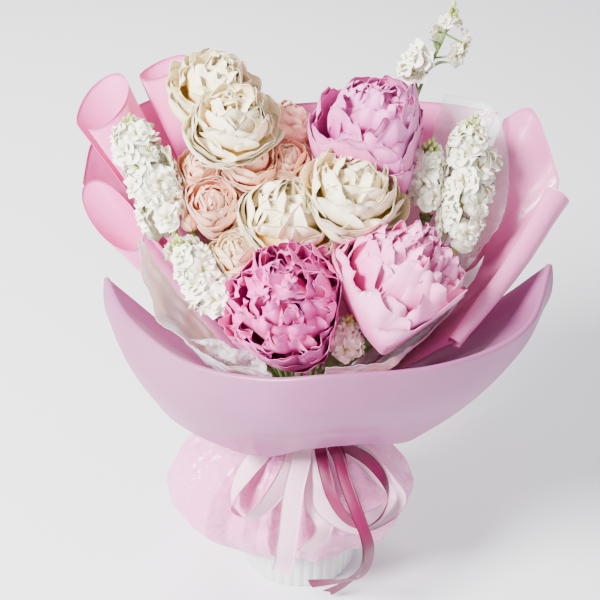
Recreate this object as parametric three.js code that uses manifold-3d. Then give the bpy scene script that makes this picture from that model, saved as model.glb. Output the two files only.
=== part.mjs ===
// A bunch of peonies with smaller flowers, wrapped in film and tied with ribbons, in a fluted vase.
// Millimetres, +Z up, front towards -Y. The origin is the centre of the vase's foot.
import * as THREE from 'three';
import { mergeVertices } from 'three/addons/utils/BufferGeometryUtils.js';
import Module from 'manifold-3d';

const wasm = await Module();
wasm.setup();

// Driving dimensions.
const CLEARANCE = 0.3;
const VASE = { height: 150, foot: 60, rim: 64, wall: 3.5, floor: 8, flutes: 36, groove: 1.2 };
const WATER_LEVEL = 112;
const TIE = { low: 186, high: 205, radius: 35.3, thickness: 0.8 };
const GATHER_LOW = 189;
const GATHER_HIGH = 207;
const STEM = { foot: 12, spread: 1.05, sides: 5 };
const SEAT_GAP = 0.4;
const FILM = 0.8;
const PETAL = 0.8;
const SLIVER = 0.45;
const FINE_SLIVER = 0.05;
const RIBBON = { pale: 20, dark: 12, thickness: 0.7 };
const KNOT = { centre: [12, -48, 193], radii: [28, 19, 10] };

const COLOURS = {
  glass: 0xe9eef0, water: 0xdfe8ea, green: 0x6f8f4a, film: 0xe9c0dc, collar: 0xc8acc3, tissue: 0xf1dce0,
  clear: 0xf3eff2, cool: 0xdf9fcf, magenta: 0xd070b8, blush: 0xe7a9d2, cream: 0xf4eedf, peach: 0xecc7b6,
  beige: 0xe3cdb4, white: 0xf5f3ee, satin: 0xf0dbe4, rose: 0xa83272,
};

// ---------------------------------------------------------------- small maths

const vec = (x, y, z) => new THREE.Vector3(x, y, z);
const at = ([x, y, z]) => vec(x, y, z);
const rad = THREE.MathUtils.degToRad;
const mix = (a, b, k) => a.clone().lerp(b, k);
const smooth = (k) => THREE.MathUtils.smoothstep(k, 0, 1);
const steps = (count) => Array.from({ length: count + 1 }, (_, i) => i / count);
const onRing = (radius, degrees, z) => vec(radius * Math.cos(rad(degrees)), radius * Math.sin(rad(degrees)), z);

// A repeatable run of numbers from 0 to 1.
function draws(seed) {
  let state = seed;
  return () => {
    state = (state * 1664525 + 1013904223) % 4294967296;
    return state / 4294967296;
  };
}

// The point a share k of the way along a smooth curve through the given points.
function along(points, k) {
  const last = points.length - 1;
  const place = Math.min(Math.max(k, 0), 1) * last;
  const i = Math.min(Math.floor(place), last - 1);
  const f = place - i;
  const [a, b, c, d] = [i - 1, i, i + 1, i + 2].map((n) => points[Math.min(Math.max(n, 0), last)]);
  return vec(...['x', 'y', 'z'].map((axis) => 0.5 * (2 * b[axis] + (c[axis] - a[axis]) * f
    + (2 * a[axis] - 5 * b[axis] + 4 * c[axis] - d[axis]) * f * f
    + (3 * b[axis] - a[axis] - 3 * c[axis] + d[axis]) * f * f * f)));
}

// ---------------------------------------------------------------- solids

// Corners are settled on a grid of this many to a millimetre, so that none lie closer than it.
const GRID = 1000;

function toSolid(geometry) {
  const bare = new THREE.BufferGeometry();
  const settled = Float32Array.from(geometry.attributes.position.array, (v) => Math.round(v * GRID) / GRID);
  bare.setAttribute('position', new THREE.BufferAttribute(settled, 3));
  bare.setIndex(geometry.index);
  const merged = mergeVertices(bare, 1 / GRID);
  return new wasm.Manifold(new wasm.Mesh({
    numProp: 3,
    vertProperties: Float32Array.from(merged.attributes.position.array),
    triVerts: Uint32Array.from(merged.index.array),
  }));
}

function fromPoints(points, triangles) {
  const geometry = new THREE.BufferGeometry();
  geometry.setAttribute('position', new THREE.Float32BufferAttribute(points.flatMap((p) => p.toArray()), 3));
  geometry.setIndex(triangles.flat());
  return toSolid(geometry);
}

function fuse(solids) {
  if (solids.length === 1) return solids[0];
  const half = Math.ceil(solids.length / 2);
  return fuse(solids.slice(0, half)).add(fuse(solids.slice(half)));
}

function geometryOf(solid) {
  const { vertProperties, triVerts } = solid.getMesh();
  const geometry = new THREE.BufferGeometry();
  geometry.setAttribute('position', new THREE.BufferAttribute(Float32Array.from(vertProperties), 3));
  geometry.setIndex(new THREE.BufferAttribute(Uint32Array.from(triVerts), 1));
  return geometry;
}

// The solid's largest body, with the slivers along its joins cleared: a hollow or crumb that a join
// seals off is dropped, again after each merging of its corners.
function largest(solid, sliver = SLIVER) {
  let bodies = solid.asOriginal().simplify(sliver).decompose();
  for (let pass = 0; pass < 3; pass += 1) {
    bodies.sort((a, b) => b.volume() - a.volume());
    bodies = toSolid(geometryOf(bodies[0])).decompose();
  }
  return bodies.sort((a, b) => b.volume() - a.volume())[0];
}

function meshOf(name, solid, colour, roughness = 0.6) {
  const geometry = geometryOf(solid);
  geometry.computeVertexNormals();
  const material = new THREE.MeshStandardMaterial({ color: colour, roughness, metalness: 0 });
  const mesh = new THREE.Mesh(geometry, material);
  mesh.name = name;
  return mesh;
}

// The normal of a net of points at one of them, along its columns x its rows.
function netNormal(net, i, j, ring) {
  const rows = net.length;
  const columns = net[0].length;
  const left = ring ? (j + columns - 1) % columns : Math.max(j - 1, 0);
  const right = ring ? (j + 1) % columns : Math.min(j + 1, columns - 1);
  const across = net[i][right].clone().sub(net[i][left]);
  const up = net[Math.min(i + 1, rows - 1)][j].clone().sub(net[Math.max(i - 1, 0)][j]);
  return across.cross(up).normalize();
}

// A thin solid either side of a net of points, split into triangles alike on both faces.
function slab(net, thickness, ring = false) {
  const rows = net.length;
  const columns = net[0].length;
  const points = [];
  for (const side of [0.5, -0.5]) {
    net.forEach((row, i) => row.forEach((p, j) => {
      points.push(p.clone().addScaledVector(netNormal(net, i, j, ring), side * thickness));
    }));
  }
  const front = (i, j) => i * columns + (j % columns);
  const back = (i, j) => rows * columns + front(i, j);
  const triangles = [];
  const quad = (a, b, c, d) => triangles.push([a, b, c], [a, c, d]);
  const spans = ring ? columns : columns - 1;
  for (let i = 0; i < rows - 1; i += 1) {
    for (let j = 0; j < spans; j += 1) {
      quad(front(i, j), front(i, j + 1), front(i + 1, j + 1), front(i + 1, j));
      triangles.push([back(i, j), back(i + 1, j + 1), back(i, j + 1)]);
      triangles.push([back(i, j), back(i + 1, j), back(i + 1, j + 1)]);
    }
  }
  for (let j = 0; j < spans; j += 1) {
    quad(front(0, j + 1), front(0, j), back(0, j), back(0, j + 1));
    quad(front(rows - 1, j), front(rows - 1, j + 1), back(rows - 1, j + 1), back(rows - 1, j));
  }
  for (let i = 0; i < rows - 1 && !ring; i += 1) {
    quad(front(i, 0), front(i + 1, 0), back(i + 1, 0), back(i, 0));
    quad(front(i + 1, columns - 1), front(i, columns - 1), back(i, columns - 1), back(i + 1, columns - 1));
  }
  return fromPoints(points, triangles);
}

// A petal that is solid right down to a root point under it.
function scale(net, root) {
  const rows = net.length;
  const columns = net[0].length;
  const spot = (i, j) => i * columns + j;
  const apex = rows * columns;
  const triangles = [];
  for (let i = 0; i < rows - 1; i += 1) {
    for (let j = 0; j < columns - 1; j += 1) {
      triangles.push([spot(i, j), spot(i, j + 1), spot(i + 1, j + 1)]);
      triangles.push([spot(i, j), spot(i + 1, j + 1), spot(i + 1, j)]);
    }
    triangles.push([spot(i, 0), spot(i + 1, 0), apex]);
    triangles.push([spot(i + 1, columns - 1), spot(i, columns - 1), apex]);
  }
  for (let j = 0; j < columns - 1; j += 1) {
    triangles.push([spot(0, j + 1), spot(0, j), apex], [spot(rows - 1, j), spot(rows - 1, j + 1), apex]);
  }
  return fromPoints([...net.flat(), root], triangles);
}

// A closed solid through rings of points that run the same way round, with a point to close each end.
function skin(rings, bottom, top) {
  const count = rings[0].length;
  const points = [...rings.flat(), bottom, top];
  const low = points.length - 2;
  const last = (rings.length - 1) * count;
  const triangles = [];
  for (let i = 0; i < count; i += 1) {
    const next = (i + 1) % count;
    triangles.push([low, next, i], [low + 1, last + i, last + next]);
    for (let r = 0; r < rings.length - 1; r += 1) {
      const [a, b] = [r * count, (r + 1) * count];
      triangles.push([a + i, a + next, b + next], [a + i, b + next, b + i]);
    }
  }
  return fromPoints(points, triangles);
}

// Two directions square to a third, turning with it smoothly.
function frameAbout(direction) {
  const reference = Math.abs(direction.y) > 0.9 * direction.length() ? vec(1, 0, 0) : vec(0, 1, 0);
  const side = reference.cross(direction).normalize();
  return [side, direction.clone().normalize().cross(side)];
}

// A round rod along a path, with a radius at each point.
function rod(path, radii, sides = STEM.sides) {
  const rings = path.map((p, i) => {
    const direction = path[Math.min(i + 1, path.length - 1)].clone().sub(path[Math.max(i - 1, 0)]);
    const [side, over] = frameAbout(direction);
    return Array.from({ length: sides }, (_, n) => {
      const turn = (2 * Math.PI * n) / sides;
      return p.clone().addScaledVector(side, radii[i] * Math.cos(turn))
        .addScaledVector(over, radii[i] * Math.sin(turn));
    });
  });
  return skin(rings, path[0].clone(), path[path.length - 1].clone());
}

function ball(centre, radii, turn = new THREE.Quaternion(), detail = 1) {
  const geometry = new THREE.IcosahedronGeometry(1, detail);
  geometry.scale(...radii);
  geometry.applyQuaternion(turn);
  geometry.translate(centre.x, centre.y, centre.z);
  return toSolid(geometry);
}

// ---------------------------------------------------------------- vase and water

const vaseRadius = (z) => THREE.MathUtils.lerp(VASE.foot, VASE.rim, z / VASE.height);

function flutedRing(z) {
  const perFlute = 2;
  const count = VASE.flutes * perFlute;
  return Array.from({ length: count }, (_, i) => {
    const deep = i % perFlute === 0 ? VASE.groove : 0;
    return onRing(vaseRadius(z) - deep, (360 * i) / count, z);
  });
}

function turned(profile, sides) {
  return toSolid(new THREE.LatheGeometry(profile.map(([r, z]) => new THREE.Vector2(r, z)), sides)
    .rotateX(Math.PI / 2));
}

function makeVase() {
  const body = skin([0, VASE.height].map(flutedRing), vec(0, 0, 0), vec(0, 0, VASE.height));
  const top = VASE.height + 1;
  const cavity = turned([[0, VASE.floor], [vaseRadius(VASE.floor) - VASE.wall, VASE.floor],
    [vaseRadius(top) - VASE.wall, top], [0, top]], VASE.flutes);
  return body.subtract(cavity);
}

function makeWater(holes) {
  const low = VASE.floor + CLEARANCE;
  const inside = (z) => vaseRadius(z) - VASE.wall - CLEARANCE;
  const water = turned([[0, low], [inside(low), low], [inside(WATER_LEVEL), WATER_LEVEL], [0, WATER_LEVEL]],
    VASE.flutes);
  return water.subtract(fuse(holes));
}

// ---------------------------------------------------------------- where each flower sits

const BLOOMS = [
  { name: 'peony_1', kind: 'peony', at: [62, 40, 479], radius: 60, faces: [0.1, -0.2, 1], colour: 'cool' },
  { name: 'peony_2', kind: 'peony', at: [-15, -78, 360], radius: 62, faces: [-0.15, -0.65, 0.8], colour: 'magenta' },
  { name: 'peony_3', kind: 'peony', at: [84, -67, 370], radius: 69, faces: [0.35, -0.12, 0.93], colour: 'blush' },
  { name: 'lisianthus_1', kind: 'lisianthus', at: [-94, 72, 508], radius: 42, faces: [0.3, -0.3, 0.9] },
  { name: 'lisianthus_2', kind: 'lisianthus', at: [-73, 20, 498], radius: 41, faces: [0.15, -0.5, 0.85] },
  { name: 'lisianthus_3', kind: 'lisianthus', at: [-21, -5, 409], radius: 57, faces: [0.1, -0.6, 0.8] },
  { name: 'lisianthus_4', kind: 'lisianthus', at: [41, -10, 444], radius: 47, faces: [0.2, -0.4, 0.9] },
  { name: 'spray_rose_1', kind: 'rose', at: [-91, 0, 424], radius: 32, faces: [0, -0.7, 0.7] },
  { name: 'spray_rose_2', kind: 'rose', at: [-106, 28, 445], radius: 24, faces: [0.1, -0.5, 0.85] },
  { name: 'spray_rose_3', kind: 'rose', at: [-55, 17, 461], radius: 28, faces: [0.1, -0.4, 0.9] },
  { name: 'spray_rose_4', kind: 'rose', at: [-24, 70, 474], radius: 30, faces: [0.3, 0.1, 0.95] },
  { name: 'spray_rose_5', kind: 'rose', at: [-64, -30, 384], radius: 32, faces: [-0.2, -0.5, 0.85], colour: 'beige' },
  { name: 'spray_rose_6', kind: 'rose', at: [-21, 30, 455], radius: 27, faces: [0.1, -0.45, 0.9], seed: 97 },
  { name: 'rose_bud', kind: 'bud', at: [-113, -8, 410], radius: 11, faces: [-0.2, -0.4, 0.9] },
];

// A stock's spike runs from its lowest florets to its tip.
const SPIKES = [
  { name: 'stock_1', from: [-133, 0, 410], to: [-171, 30, 494], radius: 36, florets: 10 },
  { name: 'stock_2', from: [-84, -52, 352], to: [-120, -37, 402], radius: 31, florets: 8 },
  { name: 'stock_3', from: [145, 4, 396], to: [155, 38, 498], radius: 39, florets: 10 },
  { name: 'stock_5', from: [38, -85, 326], to: [40, -85, 350], radius: 22, florets: 5 },
  { name: 'stock_6', from: [115, 22, 430], to: [115, 28, 478], radius: 30, florets: 6 },
  { name: 'stock_7', from: [122, -37, 369], to: [126, -39, 391], radius: 25, florets: 6 },
];

const KIND_COLOUR = { lisianthus: 'cream', rose: 'peach', bud: 'beige' };

// Everything soft as a segment with a radius, to find the plane between two neighbours.
const BODIES = [
  ...BLOOMS.map((b) => ({ name: b.name, a: at(b.at), b: at(b.at), radius: b.radius })),
  ...SPIKES.map((s) => ({ name: s.name, a: at(s.from), b: at(s.to), radius: s.radius })),
];

function closestPoints(one, other) {
  let best = { distance: Infinity };
  for (const s of steps(12)) {
    for (const t of steps(12)) {
      const [p, q] = [mix(one.a, one.b, s), mix(other.a, other.b, t)];
      const distance = p.distanceTo(q);
      if (distance < best.distance) best = { distance, p, q };
    }
  }
  return best;
}

// The funnel of wraps that the outer flowers lean against.
const WALLS = [
  { normal: vec(0.05, -0.78, -0.62).normalize(), point: vec(0, -120, 316) },
  { normal: vec(-0.5, -0.6, -0.6).normalize(), point: vec(-80, -92, 332) },
  { normal: vec(0.6, -0.5, -0.62).normalize(), point: vec(102, -82, 335) },
  { normal: vec(0.9, 0.1, -0.42).normalize(), point: vec(176, 30, 430) },
];

// The planes that keep a flower on its own side of each neighbour.
function planesOf(name) {
  const reach = 1.35;
  const own = BODIES.find((body) => body.name === name);
  return BODIES.filter((body) => body.name !== name).map((body) => {
    const { distance, p, q } = closestPoints(own, body);
    const normal = q.clone().sub(p).normalize();
    const share = own.radius / (own.radius + body.radius);
    return { normal, point: mix(p, q, share), near: distance < reach * (own.radius + body.radius) };
  }).filter((plane) => plane.near).concat(WALLS);
}

// A point past a neighbour's plane is drawn back smoothly, short of it.
function keepClear(point, planes) {
  const margin = PETAL / 2 + CLEARANCE;
  const softness = 7;
  const result = point.clone();
  for (const { normal, point: onPlane } of planes) {
    const past = result.clone().sub(onPlane).dot(normal) + margin;
    if (past > -softness) {
      const held = -softness * Math.exp(-(past + softness) / softness);
      result.addScaledVector(normal, held - past);
    }
  }
  return result;
}

// ---------------------------------------------------------------- petals and blooms

// Angles are degrees from the bloom's axis, lengths are shares of its radius, net is [rows, columns].
const WHORLS = {
  peony: [
    { count: 5, from: 150, to: 80, inner: 0.5, outer: 1.2, spread: 38, ruffle: 0.05, net: [3, 4], thin: true },
    { count: 5, from: 112, to: 76, inner: 0.55, outer: 1.0, spread: 30, ruffle: 0.06, net: [3, 3] },
    { count: 5, from: 86, to: 51, inner: 0.55, outer: 1.05, spread: 29, ruffle: 0.07, net: [3, 3] },
    { count: 5, from: 60, to: 27, inner: 0.55, outer: 1.02, spread: 23, ruffle: 0.07, net: [3, 3] },
    { count: 3, from: 34, to: 4, inner: 0.5, outer: 0.97, spread: 20, ruffle: 0.06, net: [3, 3] },
  ],
  lisianthus: [
    { count: 5, from: 150, to: 74, inner: 0.4, outer: 1.16, spread: 40, ruffle: 0.07, net: [3, 4] },
    { count: 4, from: 110, to: 48, inner: 0.4, outer: 1.0, spread: 36, ruffle: 0.08, net: [3, 4] },
    { count: 3, from: 70, to: 14, inner: 0.4, outer: 0.9, spread: 36, ruffle: 0.08, net: [3, 3] },
  ],
  rose: [
    { count: 5, from: 140, to: 74, inner: 0.45, outer: 1.08, spread: 36, ruffle: 0.03, net: [3, 3] },
    { count: 4, from: 108, to: 46, inner: 0.45, outer: 1.0, spread: 36, ruffle: 0.03, net: [3, 3] },
    { count: 2, from: 66, to: 14, inner: 0.45, outer: 0.9, spread: 34, ruffle: 0.02, net: [3, 3] },
  ],
  bud: [
    { count: 3, from: 140, to: 15, inner: 0.5, outer: 1.15, spread: 46, ruffle: 0, net: [3, 3] },
  ],
};

// The core under the petals, as a share of the bloom's radius.
const CORE = { peony: 0.72, lisianthus: 0.5, rose: 0.6, bud: 0.8 };

const petalWidth = (v) => Math.sin(Math.PI * (0.2 + 0.58 * v));

// A point of a petal, u from -1 to 1 across it and v from 0 at its root to 1 at its edge.
function petalPoint(petal, u, v) {
  const tilt = rad(petal.from + (petal.to - petal.from) * (v - 0.12 * u * u * v));
  const turn = petal.turn;
  const out = vec(Math.sin(tilt) * Math.cos(turn), Math.sin(tilt) * Math.sin(turn), Math.cos(tilt));
  const side = vec(-Math.sin(turn), Math.cos(turn), 0);
  const swing = rad(petal.spread) * u * petalWidth(v);
  const rise = petal.inner + (petal.outer - petal.inner) * v ** 0.8;
  const wave = petal.ruffle * v * v * Math.sin(petal.waves * u + petal.phase);
  return out.multiplyScalar(Math.cos(swing)).addScaledVector(side, Math.sin(swing)).multiplyScalar(rise + wave);
}

function petalsOf(kind, seed) {
  const draw = draws(seed);
  return WHORLS[kind].flatMap((whorl, level) => Array.from({ length: whorl.count }, (_, i) => ({
    ...whorl,
    turn: 2 * Math.PI * ((i + 0.5 * (level % 2) + 0.16 * (draw() - 0.5)) / whorl.count),
    outer: whorl.outer * (0.95 + 0.1 * draw()),
    waves: 3 + 1.5 * draw(),
    phase: 2 * Math.PI * draw(),
  })));
}

function makeBloom(bloom, index) {
  const centre = at(bloom.at);
  const facing = new THREE.Quaternion().setFromUnitVectors(vec(0, 0, 1), at(bloom.faces).normalize());
  const planes = planesOf(bloom.name);
  const place = (p) => keepClear(p.multiplyScalar(bloom.radius).applyQuaternion(facing).add(centre), planes);
  const petals = petalsOf(bloom.kind, bloom.seed ?? 11 + 7 * index).map((petal) => {
    const [rows, columns] = petal.net;
    const net = steps(rows - 1).map((v) => steps(columns - 1).map((k) => place(petalPoint(petal, 2 * k - 1, v))));
    return petal.thin ? slab(net, PETAL) : scale(net, place(petalPoint(petal, 0, 0).multiplyScalar(0.3)));
  });
  const core = new THREE.IcosahedronGeometry(CORE[bloom.kind], 0);
  const spots = core.attributes.position;
  for (let i = 0; i < spots.count; i += 1) {
    spots.setXYZ(i, ...place(vec().fromBufferAttribute(spots, i)).toArray());
  }
  return fuse([toSolid(core), ...petals]);
}

// ---------------------------------------------------------------- stocks

// A floret is a waved dish with a scalloped edge, solid down to its root in the spike.
function floret(centre, normal, radius, turn, place, root) {
  const points = 6;
  const [side, over] = frameAbout(normal);
  const rim = Array.from({ length: points }, (_, i) => {
    const angle = turn + (2 * Math.PI * i) / points;
    const reach = radius * (i % 2 ? 1 : 0.82);
    return centre.clone().addScaledVector(side, reach * Math.cos(angle))
      .addScaledVector(over, reach * Math.sin(angle)).addScaledVector(normal, radius * (i % 2 ? 0.1 : 0.38));
  }).map(place);
  const hub = place(centre.clone());
  return skin([rim], root ?? place(centre.clone().addScaledVector(normal, -0.55 * radius)), hub);
}

function spikeFlorets(spike, index, place) {
  const draw = draws(101 + 13 * index);
  const [low, high] = [at(spike.from), at(spike.to)];
  const direction = high.clone().sub(low).normalize();
  const [side, over] = frameAbout(direction);
  return Array.from({ length: spike.florets }, (_, i) => {
    const k = (i + 0.4) / spike.florets;
    const turn = i * rad(137.5) + 0.3 * draw();
    const out = side.clone().multiplyScalar(Math.cos(turn)).addScaledVector(over, Math.sin(turn));
    const girth = spike.radius * (1 - 0.35 * k);
    const centre = mix(low, high, k).addScaledVector(out, 0.5 * girth);
    const normal = out.clone().addScaledVector(direction, 0.25 + 0.6 * k).normalize();
    return floret(centre, normal, 0.74 * girth * (0.92 + 0.16 * draw()), draw() * Math.PI, place);
  });
}

// The bare end of a spike's own axis, below its lowest florets.
function spikeFoot({ from, to, radius }) {
  const down = at(from).sub(at(to)).normalize();
  return at(from).addScaledVector(down, 0.75 * radius);
}

function makeSpike(spike, index) {
  const planes = planesOf(spike.name);
  const place = (p) => keepClear(p, planes);
  const [low, high] = [at(spike.from), at(spike.to)];
  const path = [spikeFoot(spike), low, mix(low, high, 0.5), mix(low, high, 1.08)];
  const core = rod(path, [0.14, 0.5, 0.5, 0.2].map((share) => share * spike.radius));
  return fuse([core, ...spikeFlorets(spike, index, place)]);
}

// ---------------------------------------------------------------- stems

// neck is where the stem passes through the tie, seen from above.
const STEMS = [
  { name: 'peony_stem_1', neck: [5, 4], radius: 3, heads: ['peony_1'] },
  { name: 'peony_stem_2', neck: [-2, -15], radius: 3, heads: ['peony_2'] },
  { name: 'peony_stem_3', neck: [9, -12], radius: 3, heads: ['peony_3'] },
  { name: 'lisianthus_stem_1', neck: [-11, 15], radius: 2, heads: ['lisianthus_1'] },
  { name: 'lisianthus_stem_2', neck: [-8, 7], radius: 2, heads: ['lisianthus_2'] },
  { name: 'lisianthus_stem_3', neck: [-3, -2], radius: 2, heads: ['lisianthus_3'] },
  { name: 'lisianthus_stem_4', neck: [5, -4], radius: 2, heads: ['lisianthus_4'] },
  { name: 'rose_stem_1', neck: [-15, 0], radius: 2.2, heads: ['spray_rose_1', 'spray_rose_2', 'rose_bud'] },
  { name: 'rose_stem_2', neck: [-2, 10], radius: 2.2, heads: ['spray_rose_3', 'spray_rose_4', 'spray_rose_6'] },
  { name: 'rose_stem_3', neck: [-10, -8], radius: 2.2, heads: ['spray_rose_5'] },
  { name: 'stock_stem_1', neck: [-20, 6], radius: 2.4, heads: ['stock_1'] },
  { name: 'stock_stem_2', neck: [-17, -11], radius: 2.4, heads: ['stock_2'] },
  { name: 'stock_stem_3', neck: [19, 8], radius: 2.4, heads: ['stock_3'] },
  { name: 'stock_stem_5', neck: [5, -19], radius: 2.4, heads: ['stock_5'] },
  { name: 'stock_stem_6', neck: [13, 6], radius: 2.4, heads: ['stock_6'] },
  { name: 'stock_stem_7', neck: [16, -8], radius: 2.4, heads: ['stock_7'] },
];

const belowTie = ([x, y], z) => {
  const spread = 1 + STEM.spread * (GATHER_LOW - z) / GATHER_LOW;
  return vec(x * spread, y * spread, z);
};

// Where a stem meets its head: the middle of the underside, and the way it points there.
function seatOf(name) {
  const bloom = BLOOMS.find((b) => b.name === name);
  if (bloom) {
    const up = at(bloom.faces).normalize();
    const planes = planesOf(name);
    const drop = CORE[bloom.kind] * bloom.radius;
    return { point: keepClear(at(bloom.at).addScaledVector(up, -drop), planes), up };
  }
  const spike = SPIKES.find((s) => s.name === name);
  return { point: spikeFoot(spike), up: at(spike.to).sub(at(spike.from)).normalize() };
}

// Points of a stem are pushed sideways out of any other head that they would pass through.
function bendClear(path, own, thickness) {
  for (let round = 0; round < 30; round += 1) {
    for (let i = 1; i < path.length - 1; i += 1) {
      for (const body of BODIES) {
        if (own.includes(body.name)) continue;
        const { distance, q } = closestPoints({ a: path[i], b: path[i] }, body);
        const wanted = 1.12 * body.radius + thickness + 2.5;
        if (distance < wanted) {
          const push = path[i].clone().sub(q).setZ(0).normalize();
          path[i].addScaledVector(push, 0.35 * (wanted - distance));
        }
      }
    }
  }
  return path;
}

function stemPath(from, seat, own, thickness) {
  const span = seat.point.distanceTo(from);
  const early = from.clone().addScaledVector(vec(from.x * 0.012, from.y * 0.012, 1).normalize(), 0.3 * span);
  const arriving = seat.point.clone().sub(from).normalize().multiplyScalar(0.6).addScaledVector(seat.up, 0.4);
  const late = seat.point.clone().addScaledVector(arriving, -0.3 * span);
  const curve = new THREE.CubicBezierCurve3(from, early, late, seat.point.clone());
  return bendClear(steps(4).map((k) => curve.getPoint(k)), own, thickness);
}

// The calyx that a stem widens into, by its points and radii.
function calyx({ point, up }, radius) {
  return {
    points: [2.2, 1, 0].map((k) => point.clone().addScaledVector(up, -k * radius)),
    radii: [radius, 2.2 * radius, 2.6 * radius],
  };
}

// A seat moved along its axis until the calyx lies a seat's gap under its head.
function settled(seat, head, radius) {
  const point = seat.point.clone();
  const search = 20;
  for (let pass = 0; pass < 12; pass += 1) {
    const { points, radii } = calyx({ point, up: seat.up }, radius);
    const gap = rod(points, radii).minGap(head, search);
    point.addScaledVector(seat.up, gap > 0 ? gap - SEAT_GAP : -1);
  }
  return { point, up: seat.up };
}

function branch(start, path, seat, radius) {
  const end = calyx(seat, radius);
  const lower = [...start, ...path.slice(1, -1)];
  return rod([...lower, ...end.points], [...lower.map(() => radius), ...end.radii]);
}

function makeStem(stem, heads) {
  const foot = belowTie(stem.neck, STEM.foot);
  const low = belowTie(stem.neck, GATHER_LOW);
  const neck = vec(...stem.neck, GATHER_HIGH);
  return fuse(stem.heads.map((head, i) => {
    const seat = settled(seatOf(head), heads[head], stem.radius);
    const path = stemPath(neck, seat, stem.heads, stem.radius);
    return branch(i === 0 ? [foot, low, neck] : [neck], path, seat, stem.radius);
  }));
}

const stemHole = (stem) => rod([belowTie(stem.neck, STEM.foot - CLEARANCE), belowTie(stem.neck, WATER_LEVEL + 5)],
  [stem.radius + CLEARANCE, stem.radius + CLEARANCE]);

// The tall stock, past its lowest florets: a bare stalk that carries florets, buds and leaves.
const TALL = {
  name: 'stock_4', neck: [11, 15], radius: 2.2,
  stalk: [[107, 105, 503], [111, 99, 520], [119, 98, 542], [128, 96, 568], [134, 94, 596]],
  florets: [[[94, 97, 536], 13], [[101, 102, 521], 12], [[110, 90, 545], 10], [[145, 96, 561], 12], [[138, 88, 549], 9],
    [[123, 100, 568], 9], [[136, 99, 578], 8]],
  buds: [[[131, 94, 586], 3.4], [[136, 95, 590], 3.6], [[134, 94, 600], 4]],
  leaves: [[[111, 99, 522], [140, 92, 540], 8], [[122, 97, 548], [112, 84, 566], 7]],
};

// A narrow leaf from its root to its tip, arched and tapered.
function leaf(root, tip, width) {
  const heading = tip.clone().sub(root);
  const across = heading.clone().cross(vec(0, 0, 1)).normalize();
  const arch = across.clone().cross(heading).normalize().multiplyScalar(0.12 * heading.length());
  const net = steps(4).map((v) => [-1, 0, 1].map((u) => {
    const half = 0.5 * width * Math.max(Math.sin(Math.PI * (0.12 + 0.8 * v)), 0.2);
    return mix(root, tip, v).addScaledVector(across, u * half)
      .addScaledVector(arch, Math.sin(Math.PI * v) + 0.25 * u * u);
  }));
  return slab(net, PETAL);
}

function makeTallStock() {
  const neck = vec(...TALL.neck, GATHER_HIGH);
  const stalk = TALL.stalk.map(at);
  const seat = { point: stalk[0], up: stalk[1].clone().sub(stalk[0]).normalize() };
  const lower = stemPath(neck, seat, [], TALL.radius).slice(0, -1);
  const path = [belowTie(TALL.neck, STEM.foot), belowTie(TALL.neck, GATHER_LOW), ...lower, ...stalk];
  const onStalk = (p) => stalk.reduce((best, q) => (q.distanceTo(p) < best.distanceTo(p) ? q : best));
  const florets = TALL.florets.map(([spot, radius], i) => {
    const centre = at(spot);
    const out = centre.clone().sub(onStalk(centre));
    return floret(centre, out.normalize(), radius, i, (p) => p, onStalk(centre));
  });
  const buds = TALL.buds.map(([spot, radius]) => ball(at(spot), [radius, radius, 1.5 * radius], undefined, 0));
  const leaves = TALL.leaves.map(([root, tip, width]) => leaf(at(root), at(tip), width));
  return fuse([rod(path, path.map(() => TALL.radius)), ...florets, ...buds, ...leaves]);
}

// ---------------------------------------------------------------- wraps

// Where each sheet is gathered in the tie: its radius there and its sector of the ring, in degrees.
const GATHER = {
  cellophane_front: [24.2, 212, 288],
  cellophane_right: [24.2, -36, 36],
  tissue_left: [25.4, 194, 262],
  tissue_right: [25.4, 322, 268],
  wrap_back: [32.4, 173, 20],
  wrap_right: [28.4, 18, -62],
  wrap_front: [32.4, 197, 357],
};

const atTie = (name, k) => {
  const [radius, from, to] = GATHER[name];
  return onRing(radius, from + (to - from) * k, GATHER_HIGH);
};

// Shares of a sheet's length at its rows of points: the first lies below the flare, inside the tie.
const rowsUp = (count) => [-1, ...steps(count)];
const inTie = (point, t) => (t < 0 ? point.setZ(GATHER_LOW) : point);

// The free edge of each flat sheet, from one side of it to the other, and how far it bellies out at each
// side.
const PANELS = {
  wrap_back: {
    belly: [16, 16],
    edge: [[-224, 60, 416], [-216, 112, 445], [-160, 150, 470], [-98, 160, 468], [-40, 160, 462], [50, 158, 470],
      [132, 142, 476], [189, 112, 480]],
  },
  wrap_right: {
    belly: [26, 0],
    edge: [[192, 96, 480], [214, 64, 505], [238, 44, 458], [240, 24, 434], [197, -32, 388], [136, -100, 340]],
  },
  tissue_left: {
    belly: [8, 8],
    edge: [[-162, -14, 398], [-156, -38, 367], [-132, -72, 338], [-105, -98, 330], [-73, -121, 327], [-30, -136, 326]],
  },
  tissue_right: {
    belly: [8, 8],
    edge: [[167, -28, 394], [155, -52, 371], [115, -87, 338], [89, -110, 333], [56, -126, 330], [20, -134, 330]],
  },
  cellophane_front: {
    belly: [6, 6],
    edge: [[-106, -88, 334], [-84, -104, 340], [-58, -117, 336], [-34, -128, 330]],
  },
  cellophane_right: {
    belly: [10, 16],
    edge: [[184, 2, 406], [193, 24, 430], [194, 54, 460], [178, 80, 498], [132, 98, 506]],
  },
};

const outward = (p) => vec(p.x, p.y, 0).normalize();

function panelPoint(name, s, t) {
  const { edge, belly } = PANELS[name];
  const top = along(edge.map(at), s);
  const p = mix(atTie(name, s), top, Math.max(t, 0));
  const swell = THREE.MathUtils.lerp(...belly, s) * Math.sin(Math.PI * Math.max(t, 0));
  return inTie(p.addScaledVector(outward(top), swell), t);
}

const makePanel = (name, rows, columns) => slab(
  rowsUp(rows).map((t) => steps(columns).map((s) => panelPoint(name, s, t))),
  FILM,
);

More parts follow.
